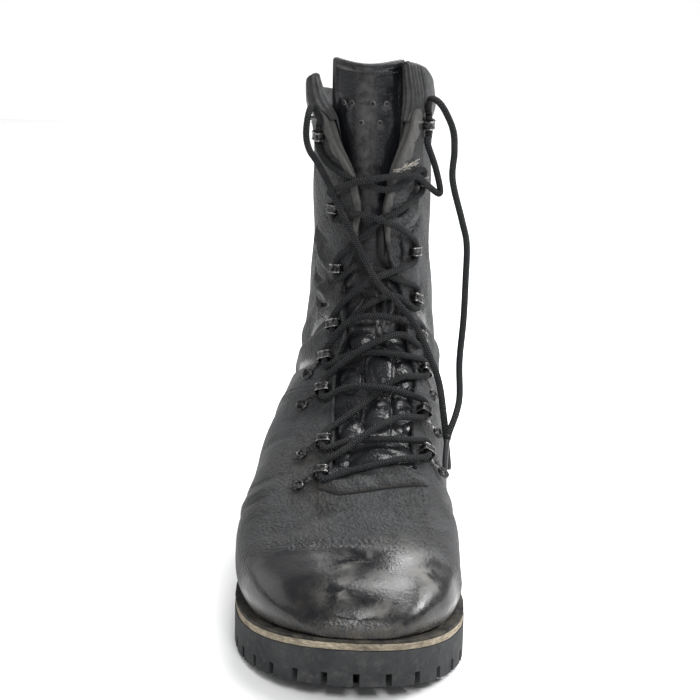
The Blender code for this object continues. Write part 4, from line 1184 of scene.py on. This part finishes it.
def make_body():
    rows = np.linspace(0.0, THROAT_ROW, 190)
    shares = np.linspace(-1.0, 1.0, 241)
    row, share = np.meshgrid(rows, shares, indexing="ij")
    q = whole_arc(row, share)
    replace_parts(skin_piece("vamp", row, q, False), "upper")
    for side, word in SIDES:
        shares = np.linspace(0.0, 1.0, 165)
        steps = np.concatenate([np.linspace(0.0, 0.22, 75), np.linspace(0.22, 1.0, 215)[1:]])
        t, share = np.meshgrid(steps, shares, indexing="ij")
        knee = quarter_seam(share) + 0.06
        row = np.where(t < 0.22, THROAT_ROW + (knee - THROAT_ROW) * t / 0.22,
                       knee + (CUFF_ROW - knee) * (t - 0.22) / 0.78)
        skin_piece("quarter_" + word, row, side_q(share, row, side), True)


def make_lining():
    grids = []
    for side in (-1, 1):
        rows = np.linspace(THROAT_ROW, CUFF_ROW, 60)
        shares = np.linspace(0.0, 1.0, 40)
        row, share = np.meshgrid(rows, shares, indexing="ij")
        q = side_q(share, row, side)
        base = plain(row, q)
        grids.append(base - normals_at(row, q, True) * LINING_DEPTH)
    rows = np.linspace(0.0, THROAT_ROW, 30)
    shares = np.linspace(-1.0, 1.0, 50)
    row, share = np.meshgrid(rows, shares, indexing="ij")
    q = whole_arc(row, share)
    grids.append(plain(row, q) - normals_at(row, q, False) * LINING_DEPTH)
    # the lining is coloured near black: painted shade inside the boot
    part("lining", grids, DARK_SEAM_AND_PAINTED_SHADE, 4e-5)


def profile_panel(name, rows, places, thick, round_off, material, columns):
    """An overlay between two border lines: places(row, u) gives the arc for u from 0 to 1."""
    edge = np.array([0.0, 0.06, 0.2, 0.45, 1.0])
    u = np.concatenate([edge * 0.08, np.linspace(0.10, 0.90, columns), 1.0 - edge[::-1] * 0.08])
    row, share = np.meshgrid(rows, u, indexing="ij")
    q = places(row, share)
    width = np.abs(places(row, np.ones_like(share)) - places(row, np.zeros_like(share)))
    inside = np.minimum(share, 1.0 - share) * width
    lift = thick * quarter_round(inside / round_off) - 0.0004 * (inside <= 0.0)
    points, normal = skin(row, q, lift)
    marks = marks_for(points, row, q)
    marks["wear"] = np.maximum(marks["wear"], 0.85 * (1.0 - ramp(inside, 0.0003, 0.0014)))
    part(name, [points], material, 2e-5, marks)


EYESTAY_LINE = (
    # row, millimetres from the throat's edge to the outer line: lateral, medial
    (12.30, 4.0, 4.0),
    (12.60, 6.8, 6.8),
    (13.00, 8.8, 9.0),
    (13.50, 11.8, 12.0),
    (14.50, 18.5, 18.0),
    (16.25, 30.0, 31.0),
    (18.00, 43.0, 46.0),
    (20.00, 46.0, 51.0),
    (21.65, 34.5, 43.0),
    (23.10, 27.0, 36.0),
)


def by_row(table, row, side):
    """Metres at a section place, from a table's lateral or medial column of millimetres."""
    columns = list(zip(*table))
    return np.interp(row, columns[0], columns[1 if side < 0 else 2]) / 1000.0


def eyestay_line(row, side):
    return by_row(EYESTAY_LINE, row, side)


def make_eyestays():
    rows = np.linspace(12.3, CUFF_ROW + 0.05, 250)
    for side, word in SIDES:
        def to_q(row, u, side=side):
            start = throat_arc(row, side)
            return side * (start - 0.0004 + (eyestay_line(row, side) + 0.0004) * u)
        profile_panel("eyestay_" + word, rows, to_q, EYESTAY_STEP + 0.0002, 0.0011, LEATHER, 46)
        line = np.linspace(12.4, CUFF_ROW - 0.1, 300)
        seam, _ = skin(line, side * (throat_arc(line, side) + eyestay_line(line, side) + 0.0003), 0.0)
        part("eyestay_seam_" + word, [tube_grid(seam, SEAM_RADIUS, 6)], DARK_SEAM_AND_PAINTED_SHADE)
        for inset in (0.0022, 0.0046):
            line = np.linspace(12.5, CUFF_ROW - 0.1, 400)
            q = side * (throat_arc(line, side) + eyestay_line(line, side) - inset)
            stitches("eyestay_stitch_%s_%d" % (word, round(inset * 10000)), line, q, EYESTAY_STEP)


def stitches(name, row, q, lift):
    """A row of short, slightly sunk stitches on the skin, along a line of places."""
    stitch_row(name, *skin(row, q, lift))


def stitch_row(name, points, normal, pitch=0.0026):
    lengths = arc_lengths(points)
    grids = []
    for start in np.arange(0.0, lengths[-1] - pitch, pitch):
        a, m, b = at_arc(points, lengths, start + pitch * np.array([0.10, 0.45, 0.80]))
        up = at_arc(normal, lengths, np.array([start]))[0]
        sink = up * STITCH_SINK
        grids.append(tube_grid([a - sink, m + sink, b - sink], THREAD_RADIUS, 5))
    part(name, grids, THREAD)


FACING_WIDTHS = (
    # row, millimetres that the curled edge lies out over the leather: lateral, medial
    (8.0, 0.3, 0.3),
    (15.5, 0.6, 0.6),
    (18.6, 0.9, 1.2),
    (19.6, 2.2, 3.0),
    (20.6, 2.4, 2.6),
    (21.3, 1.6, 2.6),
    (21.9, 4.2, 7.0),
    (22.6, 6.4, 8.2),
    (23.2, 7.2, 8.4),
    (23.6, 6.0, 7.0),
)


def make_facings():
    """The edges of the throat: dark on the instep, curled outward and suede-like on the shaft."""
    for side, word in SIDES:
        for zone, start, end, count, worn, material in (
                ("lower", THROAT_ROW - 0.02, 18.6, 190, 0.12, LEATHER),
                ("upper", 18.5, 23.55, 150, 0.45, SUEDE)):
            rows = np.linspace(start, end, count)
            width = by_row(FACING_WIDTHS, rows, side)
            width = width * (1.0 + 0.07 * np.sin(rows * 17.0) * ramp(rows, 19.0, 20.0))
            edge_q = side * throat_arc(rows, side)
            step = EYESTAY_STEP * ramp(rows, 12.3, 12.7)
            edge, normal = skin(rows, edge_q, step)
            inward, _ = skin(rows, edge_q - side * 0.0015, step)
            across = unit(inward - edge)
            lines = [edge - normal * depth + across * 0.0003 for depth in (0.0046, 0.0030)]
            curl = 0.0004 * ramp(width, 0.001, 0.006)
            for a in np.linspace(-90.0, 90.0, 9):
                c, s = math.cos(math.radians(a)), math.sin(math.radians(a))
                lines.append(edge + across * (FACING_THICKNESS * 0.8 * c)
                             + normal * (FACING_THICKNESS * 0.85 * s - 0.0004 + curl)[:, None])
            for u in (0.25, 0.5, 0.75, 0.92, 1.0):
                wave = 0.0005 * np.sin(rows * 11.0 + 5.0 * u) * ramp(width, 0.001, 0.004)
                lift = 0.0010 * (1.0 - 0.5 * u) + wave if u < 1.0 else -0.0003
                over, _ = skin(rows, edge_q + side * width * u, step + lift)
                lines.append(over)
            grid = np.array(lines).transpose(1, 0, 2)
            part("facing_%s_%s" % (word, zone), [grid], material, marks=even_marks(grid.shape[:2], wear=worn))
    # the frayed cream end on the medial facing
    grids = []
    for k in range(26):
        at = (k * 0.37) % 1.0
        reach = np.linspace(0.0, 1.0, 7)
        row = 21.46 + 0.30 * at + 0.05 * math.sin(k * 2.1) + (0.10 + 0.05 * math.sin(k * 1.3)) * reach
        q = throat_arc(row, 1) + 0.0128 * at + (0.0034 + 0.0016 * math.sin(k * 3.7)) * (reach - 0.5)
        points, _ = skin(row, q, 0.0016 + 0.0007 * np.sin(reach * 4.0 + k))
        grids.append(tube_grid(points, 0.00028, 5))
    part("frayed_end", grids, FRAYED)
    make_lip()


LIP_LINE = (
    # share of the way from the lateral end to the medial one, lower row, upper row
    (0.00, 8.22, 8.85),
    (0.20, 7.98, 9.20),
    (0.42, 8.10, 9.32),
    (0.70, 8.33, 9.40),
    (1.00, 8.66, 9.22),
)


def make_lip():
    """The full roll of leather at the foot of the tongue, and the vamp's flap that meets it."""
    columns, levels = 121, 44
    u = np.linspace(0.0, 1.0, columns)
    names = list(zip(*LIP_LINE))
    low, high = (np.interp(u, names[0], names[k]) for k in (1, 2))
    t = np.linspace(0.0, 1.0, levels)
    row = low[None] + (high - low)[None] * t[:, None]
    left, right = -throat_arc(8.6, -1) - 0.0050, throat_arc(8.6, 1) + 0.0044
    across = (left + (right - left) * u)[None]
    q = np.repeat(across, levels, 0)
    end = np.minimum(u, 1.0 - u)[None] * (right - left)
    swell = quarter_round(t / 0.22)[:, None] * quarter_round(end / 0.0050)
    lift = swell * (0.0036 - 0.0064 * ramp(t, 0.66, 1.0)[:, None] + 0.0005 * np.sin(q * 420.0 + row * 5.0))
    lift = lift - 0.0006 - 0.0009 * np.exp(-((t - 0.55) / 0.10) ** 2)[:, None]
    points, normal = skin(row, q, lift, False)
    marks = marks_for(points, row, q)
    marks["dirt"] = marks["dirt"] + 0.5 * (1.0 - ramp(t, 0.0, 0.10))[:, None]
    part("throat_lip", [points], LEATHER, 1e-6, marks)
    s = np.linspace(0.0, 1.0, 16)
    row = (THROAT_ROW - 0.45) + (low + 0.06 - THROAT_ROW + 0.45)[None] * s[:, None]
    q = np.repeat(across, len(s), 0)
    flat = 0.0005 - 0.0008 * (1.0 - ramp(s, 0.0, 0.15))[:, None] - 0.0008 * (1.0 - ramp(end, 0.0, 0.0015))
    points, _ = skin(row, q, flat, False)
    marks = marks_for(points, row, q)
    part("vamp_flap", [points], LEATHER, 1e-6, marks)
    groove, _ = skin(low, q[0], 0.0007, False)
    part("lip_seam", [tube_grid(groove[3:-3], LIP_SEAM_RADIUS, 6)], DARK_SEAM_AND_PAINTED_SHADE)


def make_cuff():
    """The padded collar: outer skin, rolled rim, inner side and rounded, ribbed front ends."""
    grids = []
    marks = {"dirt": [], "polish": [], "scuff": [], "wear": []}
    levels = np.linspace(CUFF_ROW - 0.02, TOP_ROW, 46)
    for side in (-1, 1):
        shares = np.concatenate([np.linspace(0.0, 0.14, 34), np.linspace(0.14, 1.0, 120)[1:]])
        row, share = np.meshgrid(levels, shares, indexing="ij")
        q = side_q(share, row, side)
        base = plain(row, q)
        normal = normals_at(row, q, True)
        climb = np.clip((row - CUFF_ROW) / (TOP_ROW - CUFF_ROW), 0.0, 1.0)
        from_end = np.abs(q) - throat_arc(row, side)
        full = CUFF_FULLNESS * np.sin(np.pi * climb ** 0.8) + 0.0004
        full += crease_relief(base.reshape(-1, 3)).reshape(row.shape) * ramp(climb, 0.02, 0.25)
        ribs = 0.0007 * np.cos(2.0 * np.pi * from_end / CUFF_RIB_PITCH) * (1.0 - ramp(from_end, 0.008, 0.016))
        full += ribs * ramp(climb, 0.05, 0.3)
        full = np.where(climb <= 0.0, -0.0006, full)
        out = base + normal * full[..., None]
        thick = CUFF_THICKNESS + 0.0016 * (1.0 - ramp(from_end, 0.004, 0.03)) - 0.0008 * climb
        inner = base - normal * (thick - 0.0008)[..., None]
        spine = (out + inner) / 2.0
        half = np.linalg.norm(out[-1] - inner[-1], axis=1, keepdims=True) / 2.0
        aside = (out[-1] - inner[-1]) / (2.0 * half)
        roll = []
        for a in np.linspace(0.0, math.pi, 13)[1:-1]:
            roll.append(spine[-1] + half * (aside * math.cos(a) + np.array([0.0, 0.0, 0.9]) * math.sin(a)))
        under = np.full(len(shares), CUFF_ROW - 0.8)
        under_q = side_q(shares, under, side)
        low = plain(under, under_q) - normals_at(under, under_q, True) * 0.0030
        grid = np.concatenate([out, np.array(roll), inner[::-1], low[None]])
        middle = np.concatenate([spine, np.repeat(spine[-1][None], len(roll), 0), spine[::-1], low[None]])
        # the rounded front end
        plain_ring = np.concatenate([base, np.repeat(base[-1][None], len(roll), 0), base[::-1], low[None]])
        forward = unit(plain_ring[:, 0] - plain_ring[:, 3])
        radius = np.linalg.norm(grid[:, 0] - middle[:, 0], axis=1, keepdims=True)
        cap = []
        for a in np.linspace(math.pi / 2.0, 0.0, 14)[:-1]:
            rib = 1.0 + 0.16 * math.cos(a * 8.0)
            cap.append(middle[:, 0] + (grid[:, 0] - middle[:, 0]) * math.cos(a) * rib
                       + forward * np.minimum(radius, 0.0032) * math.sin(a) * 1.1 * rib)
        grid = np.concatenate([np.array(cap).transpose(1, 0, 2), grid], axis=1)
        grids.append(grid)
        worn = np.full(grid.shape[:2], 0.16)
        worn[:, :30] = 0.42
        worn[len(levels) - 3:len(levels) + len(roll) + 2] = 0.40
        for key, value in even_marks(grid.shape[:2], wear=worn).items():
            marks[key] += value
    cuff = part("collar_cuff", grids, CUFF_LEATHER, 4e-5, marks)


def make_back():
    """The cuff's lower seam, the tapering backstay and the seams of the quarters."""
    for side, word in SIDES:
        q = side * (throat_arc(CUFF_ROW, side) + (total_arc(CUFF_ROW, side) - throat_arc(CUFF_ROW, side))
                    * np.linspace(0.0, 1.0, 220))
        row = np.full(220, CUFF_ROW - 0.01)
        line, normal = skin(row, q, 0.0006)
        part("cuff_edge_" + word, [tube_grid(line, CUFF_PIPING, 7)], WORN_EDGE_AND_PAINTED_HIGHLIGHT)
        for drop in (0.055, 0.14):
            stitches("cuff_stitch_%s_%d" % (word, drop * 1000), row - drop, q, 0.0004)
        # double seam along the quarter's front edge
        share = np.linspace(0.16, 0.97, 300)
        for back in (0.10, 0.24):
            row = quarter_seam(share) + back
            arc = side * share * total_arc(row, side)
            stitches("quarter_stitch_%s_%d" % (word, back * 100), row, arc, 0.0)
        # piping and seams along the backstay
        rows = np.linspace(BACKSTAY_FOOT, CUFF_ROW - 0.02, 150)
        q = side * (total_arc(rows, side) - backstay_half(rows))
        line, normal = skin(rows, q, 0.0006)
        part("backstay_piping_" + word, [tube_grid(line, BACKSTAY_PIPING, 7)], WORN_EDGE_AND_PAINTED_HIGHLIGHT)
        for aside in (0.0024, 0.0052):
            stitches("backstay_stitch_%s_%d" % (word, aside * 10000), rows, q - side * aside, 0.0002)
    rows = np.linspace(BACKSTAY_FOOT, CUFF_ROW - 0.02, 150)
    u = np.linspace(-1.0, 1.0, 46)
    row, share = np.meshgrid(rows, u, indexing="ij")
    half = backstay_half(row)
    q = np.where(share < 0, -(total_arc(row, -1) + share * half), total_arc(row, 1) - share * half)
    relief = 0.0007 + 0.0005 * np.sin(row * 38.0 + 3.0 * np.sin(share * 2.0 + row)) * (1.0 - share ** 2)
    relief -= 0.0008 * np.exp(-((share - 0.05) / 0.10) ** 2)
    relief = np.where(np.abs(share) > 0.995, -0.0003, relief)
    points, normal = skin(row, q, relief)
    marks = marks_for(points, row, q)
    marks["wear"] = np.full(row.shape, 0.22)
    part("backstay", [points], WRINKLED, marks=marks)
    # two pinholes above the cuff's seam, on the lateral side of the back
    for k, across in enumerate((0.006, 0.0145)):
        row = np.array([24.15])
        q = -(total_arc(row, -1) - across)
        centre = skin(row, q, 0.0016)[0][0]
        turn = np.linspace(0.0, 2.0 * math.pi, 13)
        disc = centre + 0.0006 * np.stack([np.cos(turn), 0.0 * turn, np.sin(turn)], axis=1)
        grid = np.array([[centre] * 13, disc])
        # each pinhole is a near-black disc: painted shade in the hole
        part("pinhole_%d" % k, [grid], DARK_SEAM_AND_PAINTED_SHADE)


BACKSTAY_FOOT = 20.82


def backstay_half(row):
    return 0.0090 + 0.0070 * np.clip((row - BACKSTAY_FOOT) / (CUFF_ROW - BACKSTAY_FOOT), 0.0, 1.0)


make_body()
make_lining()
make_eyestays()
make_facings()
make_cuff()
make_back()


# Tongue

PUFFS = (
    # row, x mm, half height in rows, half width mm, height mm
    (8.50, 12.0, 0.50, 27.0, 3.4),
    (9.52, 15.5, 0.42, 18.5, 3.6),
    (9.60, -6.0, 0.34, 6.0, 2.0),
    (10.30, -3.5, 0.32, 6.5, 2.8),
    (10.72, 11.0, 0.44, 8.5, 3.8),
    (10.80, 26.0, 0.46, 7.0, 2.6),
    (11.60, -4.5, 0.32, 6.5, 2.8),
    (11.88, 12.0, 0.62, 9.0, 4.2),
    (11.95, 25.5, 0.55, 7.0, 3.2),
    (12.75, 1.0, 0.30, 8.0, 2.2),
    (12.85, 20.0, 0.32, 9.0, 2.4),
    (17.60, -8.0, 1.10, 4.5, 3.2),
    (18.55, 14.5, 1.20, 6.0, 3.2),
    (16.20, -7.5, 0.60, 4.0, 2.4),
    (16.00, 18.5, 0.80, 4.5, 2.6),
)
TONGUE_FOLDS = (
    # height mm (below zero is a trough), width mm, points (row, x mm)
    (3.0, 1.7, ((13.25, -9.0), (13.60, -6.0), (14.05, -1.5), (14.5, 0.8))),
    (2.4, 1.5, ((15.6, 4.8), (14.9, 8.8), (14.2, 6.6), (13.5, 8.6))),
    (2.2, 1.4, ((15.8, 11.5), (14.8, 13.6), (13.7, 12.4))),
    (2.2, 1.4, ((15.7, 17.5), (14.6, 18.6), (13.6, 16.4))),
    (-2.0, 1.6, ((15.4, -2.0), (14.6, 2.8), (13.8, 2.0))),
    (-1.5, 1.0, ((15.6, 8.4), (14.6, 10.8), (13.6, 10.4))),
    (-1.5, 1.0, ((15.7, 14.6), (14.6, 16.0), (13.6, 14.6))),
    (-1.2, 0.9, ((12.6, 18.6), (11.9, 18.9), (10.6, 18.6), (10.1, 18.0))),
    (1.2, 1.2, ((13.2, 9.0), (12.9, 11.0), (12.6, 10.0))),
    (1.2, 1.2, ((13.2, 15.0), (12.9, 14.2), (12.6, 14.6))),
    (1.3, 1.3, ((18.8, -5.0), (17.8, -6.0), (16.8, -6.2))),
    (-1.0, 0.9, ((19.2, 12.0), (18.4, 12.8), (17.6, 12.2))),
    (-1.0, 0.9, ((19.4, 16.0), (18.6, 16.6), (17.8, 16.0))),
    (-0.9, 0.8, ((11.9, 6.5), (11.6, 9.0), (11.5, 12.5))),
    (-0.8, 0.7, ((9.3, 4.0), (9.5, 14.0), (9.35, 26.0))),
    (-0.8, 0.8, ((8.7, -8.0), (8.5, 8.0), (8.6, 28.0))),
    (-0.6, 0.6, ((23.2, 2.2), (22.3, 2.4), (21.3, 2.6))),
)
VENT_PROFILE = ((0.00001, 0.0006), (0.0009, 0.0006), (0.00115, 0.0009), (0.0015, 0.0003))
VENTS = (
    # row, x mm
    (23.62, -16.0),
    (23.62, -10.0),
    (23.62, 4.0),
    (23.62, 13.5),
    (22.92, -3.0),
    (22.92, 9.0),
)


def tongue_relief(row, x):
    relief = np.zeros(row.shape)
    for at_row, at_x, tall, wide, height in PUFFS:
        d = np.abs((row - at_row) / (1.10 * tall)) ** 2.2 + np.abs((x * 1000.0 - at_x) / (1.10 * wide)) ** 2.2
        relief = np.maximum(relief, 1.15 * height / 1000.0 * np.clip(1.0 - d, 0.0, 1.0) ** 0.60)
    mm = 6.0 + 3.0 * ramp(row, 15.0, 19.0)
    for height, width, points in TONGUE_FOLDS:
        best = np.full(row.shape, 1e9)
        where = np.zeros(row.shape)
        line = np.array(points, float)
        t = np.linspace(0, len(line) - 1, 6 * len(line))
        line = np.stack([np.interp(t, range(len(line)), line[:, k]) for k in (0, 1)], axis=1)
        for k in range(len(line) - 1):
            a, b = line[k], line[k + 1]
            ar, br = (row - a[0]) * mm, (b[0] - a[0]) * mm
            ax, bx = x * 1000.0 - a[1], b[1] - a[1]
            s = np.clip((ar * br + ax * bx) / (br * br + bx * bx + 1e-9), 0.0, 1.0)
            d = np.hypot(ar - s * br, ax - s * bx)
            where = np.where(d < best, (k + s) / (len(line) - 1), where)
            best = np.minimum(best, d)
        fade = np.sin(np.pi * np.clip(where, 0.03, 0.97)) ** 0.6
        relief = relief + height / 1000.0 * fade * np.exp(-(best / width) ** 2)
    return relief


def tongue_grid(rows, columns):
    """Plain front face of the tongue, its sideways places and how far it stands free."""
    front = np.zeros((len(rows), columns, 3))
    across = np.zeros((len(rows), columns))
    free = ramp(rows, 17.0, TONGUE_TOP_ROW)
    for i, (row, lean) in enumerate(zip(rows, free)):
        s = section(row)
        margin = 0.055 * (1.0 - lean)
        low = s["gap_lateral"] * (1.0 - lean) + (TONGUE_CENTRE - TONGUE_HALF_WIDTH) / BALL_WIDTH * lean
        high = s["gap_medial"] * (1.0 - lean) + (TONGUE_CENTRE + TONGUE_HALF_WIDTH) / BALL_WIDTH * lean
        across[i] = np.linspace(low - margin, high + margin, columns) * BALL_WIDTH
        for side in (-1, 1):
            pick = (across[i] >= s["ridge"] * BALL_WIDTH) == (side > 0)
            line = half_section(row, side, 60)
            line = line[:len(line) // 2 + 1]
            for m in range(3):
                front[i, pick, m] = np.interp(across[i, pick] * side, line[:, 0] * side, line[:, m])
    return front - grid_normals(front) * (WALL + 0.0006 + TONGUE_INSET * free)[:, None, None], across


def grid_normals(grid):
    return unit(np.cross(np.gradient(grid, axis=1), np.gradient(grid, axis=0)))


def make_tongue():
    """The tongue's puffed face, vents, lining, bound edge and top stitch."""
    columns = 89
    rows = np.concatenate([np.linspace(THROAT_ROW - 0.6, 13.0, 150), np.linspace(13.03, 20.0, 150)[1:],
                           np.linspace(20.02, TONGUE_TOP_ROW, 110)[1:]])
    front, across = tongue_grid(rows, columns)
    bend = np.abs(2.0 * np.arange(columns) / (columns - 1) - 1.0)
    extra = 26
    rise = (TONGUE_RISE - TONGUE_CURVE * (1.0 - bend ** 2))[None] * (np.arange(1, extra + 1) / extra)[:, None]
    top = np.repeat(front[-1][None], extra, 0)
    top[:, :, 2] += rise
    front = np.concatenate([front, top])
    row = np.concatenate([np.repeat(rows[:, None], columns, 1),
                          TONGUE_TOP_ROW + rise / TONGUE_RISE * (TONGUE_RISE / (0.075 * UPPER_HEIGHT))])
    x = np.concatenate([across, np.repeat(across[-1][None], extra, 0)])
    normal = grid_normals(front)
    plain_front = front.copy()
    ridge = 0.0022 * np.exp(-((x * 1000.0 + 0.5) / 10.0) ** 2) * ramp(row, 19.0, 21.5)
    front = front + normal * (tongue_relief(row, x) + ridge)[..., None]
    hole = np.zeros(row.shape)
    vents = []
    for at_row, at_x in VENTS:
        spot = np.unravel_index(np.argmin(np.abs(row - at_row) * 20.0 + np.abs(x * 1000 - at_x)), row.shape)
        turn = Vector(normal[spot]).to_track_quat("Z", "Y").to_matrix().to_4x4()
        turn.translation = Vector(front[spot])
        vents.append(placed(turned(VENT_PROFILE), turn))
        hole = np.maximum(hole, np.exp(-(np.linalg.norm(front - front[spot], axis=-1) / 0.0026) ** 2))
    front = front + normal * (0.0004 * hole)[..., None]
    rings = [np.array([v[2], v[2] + (v[3] - v[2]) * 0.5 + (v[2] - v[1]) * 0.4, v[3]]) for v in vents]
    # light rims round the vents: painted highlight on the holes' edges
    part("tongue_vent_rims", rings, WORN_EDGE_AND_PAINTED_HIGHLIGHT)
    # near-black vent discs: painted shade in the holes
    part("tongue_vents", vents, DARK_SEAM_AND_PAINTED_SHADE)
    edge = np.minimum(np.arange(columns), columns - 1 - np.arange(columns))[None, :] * 0.0005
    from_top = np.clip((TONGUE_TOP_ROW - row) * 0.018, 0.0, 1.0) + (rise[-1][None] - np.concatenate(
        [np.zeros((len(rows), columns)), rise]))
    band = 1.0 - ramp(np.minimum(edge, from_top), 0.0022, 0.0026)
    band = band * ramp(row, 19.0, 20.0)
    front = front + normal * (0.0007 * band)[..., None]
    back = plain_front - normal * TONGUE_THICKNESS
    # lighter middle band up the tongue: painted highlight; darker sides: painted shade
    middle = np.exp(-(np.abs(x * 1000.0 + 0.5) / 7.5) ** 2.5) * ramp(row, 19.0, 21.0)
    side_shade_and_polish = 0.70 * (1.0 - middle) * ramp(row, 18.5, 20.5) + 0.35 * (row < 13.0) + 0.10
    marks = even_marks(row.shape, wear=0.06 + 0.30 * band + 0.55 * middle, polish=np.clip(side_shade_and_polish, 0.0, 1.0))
    face = part("tongue_face", [front], TONGUE_LEATHER, 1e-6, marks)
    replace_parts(face, "tongue")
    part("tongue_lining", [back[::3, ::2]], LINING, 1e-6)
    # bound edge, its inner band and the stitch line under it
    rim = np.concatenate([front[:, 0], front[-1, 1:-1], front[::-1, -1]])
    rim_back = np.concatenate([back[:, 0], back[-1, 1:-1], back[::-1, -1]])
    binding = tube_grid((rim + rim_back) / 2.0, TONGUE_THICKNESS * 0.62, 8)
    part("tongue_binding", [binding], CUFF_LEATHER, 1e-6)
    inner = np.concatenate([back[150:, 5], back[-6, 6:-6], back[:149:-1, -6]])
    part("tongue_inner_binding", [tube_grid(inner, 0.0006, 6)], CUFF_LEATHER, 1e-6)
    above = normal[-8, 5:-5]
    stitch_row("tongue_top_stitch", front[-8, 5:-5] + above * 0.0003, above, 0.0024)


make_tongue()


# Lace holders

def arch_path(width, height, steps=6):
    """A squarish arch in the local X-Z plane."""
    r = 0.0016
    pts = [(-width / 2, 0.0)]
    for a in np.linspace(math.pi, math.pi / 2, steps):
        pts.append((-width / 2 + r + r * math.cos(a), height - r + r * math.sin(a)))
    for a in np.linspace(math.pi / 2, 0.0, steps):
        pts.append((width / 2 - r + r * math.cos(a), height - r + r * math.sin(a)))
    pts.append((width / 2, 0.0))
    return np.array(pts)


def metal_part(name, grids, place, material=DARK_METAL, smooth=True):
    return part(name, [placed(g, place) for g in grids], material, 1e-6, None, smooth)


def make_holders():
    """Square bridges whose rims are a brighter metal, a painted highlight; the lower pairs are riveted on a
    tail.
    """
    half = EYELET_LENGTH / 2
    arch = arch_path(EYELET_WIDTH - EYELET_METAL, EYELET_HEIGHT - EYELET_METAL / 2)
    rims = [tube_grid([(x, y, z) for x, z in arch], HOLDER_RIM, 8, (0, 1, 0))
            for y in (-half + 0.0006, half - 0.0006)]
    stations = ((1.03, -half + 0.0004), (0.99, -half * 0.4), (0.99, half * 0.4), (1.03, half - 0.0004))
    shell = np.array([[(x * k, y, z * k) for x, z in arch] for k, y in stations])
    base = np.array([[(x, y, z) for x in (-EYELET_WIDTH / 2, EYELET_WIDTH / 2)]
                     for y, z in ((-half, 0.0001), (-half, 0.0008), (half, 0.0008), (half, 0.0001))])
    tail = np.array([[(TAIL_LENGTH * t, (0.0022 - 0.0006 * math.sin(t * math.pi)) * c,
                       0.0009 - 0.0005 * abs(c)) for c in (-1.0, -0.6, 0.0, 0.6, 1.0)]
                     for t in np.linspace(0.0, 1.0, 12)])
    dome = turned(((0.00001, 0.0013), (0.0006, 0.0012), (0.0012, 0.0007)), TAIL_LENGTH)
    ring = turned(((0.0012, 0.0004), (0.0013, 0.0012), (0.0018, 0.0016), (0.0026, 0.0017), (0.0034, 0.0012),
                   (0.0036, 0.0003)), TAIL_LENGTH)
    for side, word in SIDES:
        for pair in range(len(EYELETS)):
            name = "eyelet_%s_%d" % (word, pair + 1)
            place = eyelet_matrix(pair, side)
            metal_part(name + "_rims", rims, place, RIM_HIGHLIGHT_METAL)
            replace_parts(metal_part(name + "_loop", [shell, shell * np.array((0.86, 1.0, 0.86))], place), name)
            metal_part(name + "_foot", [base], place, smooth=False)
            if pair < TAILED_PAIRS:
                down = -1.0 if place.to_3x3().col[1].z > 0.0 else 1.0
                turn = Matrix.Rotation(math.radians(TAIL_TURN) * down, 4, "Z")
                reach = place @ Matrix.Translation((EYELET_WIDTH / 2.0 - 0.0006, 0.0, 0.0)) @ turn
                metal_part(name + "_tail", [tail, dome], reach)
                metal_part(name + "_ring", [ring], reach)


make_holders()

# Sole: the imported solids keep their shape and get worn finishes
for node, material in (("outsole", RUBBER), ("heel", RUBBER), ("midsole", EDGE), ("welt", WELT_MATERIAL),
                       ("insole", LINING)):
    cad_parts[node].data.materials.clear()
    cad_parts[node].data.materials.append(material)


# Stage

def make_stage():
    """A pale floor that bends up into a pale wall, even surroundings and five soft lights."""
    mesh = bpy.data.meshes.new("floor")
    profile = [(-FLOOR_REACH, 0.0), (WALL_START, 0.0)]
    for a in np.radians(range(5, 91, 5)):
        profile.append((WALL_START + WALL_BEND * math.sin(a), WALL_BEND * (1.0 - math.cos(a))))
    profile.append((WALL_START + WALL_BEND, 4.0))
    verts = [(x, y, z) for y, z in profile for x in (-FLOOR_REACH, FLOOR_REACH)]
    faces = [(2 * k, 2 * k + 1, 2 * k + 3, 2 * k + 2) for k in range(len(profile) - 1)]
    mesh.from_pydata(verts, [], faces)
    floor = bpy.data.objects.new("floor", mesh)
    bpy.context.scene.collection.objects.link(floor)
    b = Build("floor_pale")
    mesh.materials.append(b.finish((0.86, 0.86, 0.86), 0.65))
    b = Build("wall_pale")
    mesh.materials.append(b.finish((0.86, 0.86, 0.86), 0.80, Emission_Strength=0.26,
                                   Emission_Color=(1.0, 1.0, 1.0, 1.0)))
    mesh.shade_smooth()
    for face in mesh.polygons:
        face.material_index = 1 if face.index > 0 else 0
    world = bpy.data.worlds.new("studio")
    world.use_nodes = True
    sky = world.node_tree.nodes["Background"].inputs
    sky["Color"].default_value = (0.97, 0.98, 1.0, 1.0)
    sky["Strength"].default_value = 0.40
    bpy.context.scene.view_settings.view_transform = "Standard"
    bpy.context.scene.world = world
    for name, where, aim, size, power in (
            ("key", (0.30, -1.25, 1.15), (0.0, -0.05, 0.12), 0.50, 18.0),
            ("left", (-1.25, 0.25, 0.80), (0.0, 0.0, 0.12), 1.00, 4.5),
            ("rim", (1.05, 0.10, 0.90), (0.0, 0.0, 0.12), 0.45, 15.0),
            ("back", (0.12, 1.15, 1.10), (0.0, 0.05, 0.10), 0.60, 13.0),
            ("top", (0.34, 0.32, 1.38), (0.0, -0.02, 0.1), 0.65, 17.0)):
        data = bpy.data.lights.new(name, "AREA")
        data.shape = "SQUARE"
        data.size = size
        data.energy = power
        light = bpy.data.objects.new(name, data)
        bpy.context.scene.collection.objects.link(light)
        light.location = where
        light.rotation_euler = (Vector(aim) - Vector(where)).to_track_quat("-Z", "Y").to_euler()


make_stage()
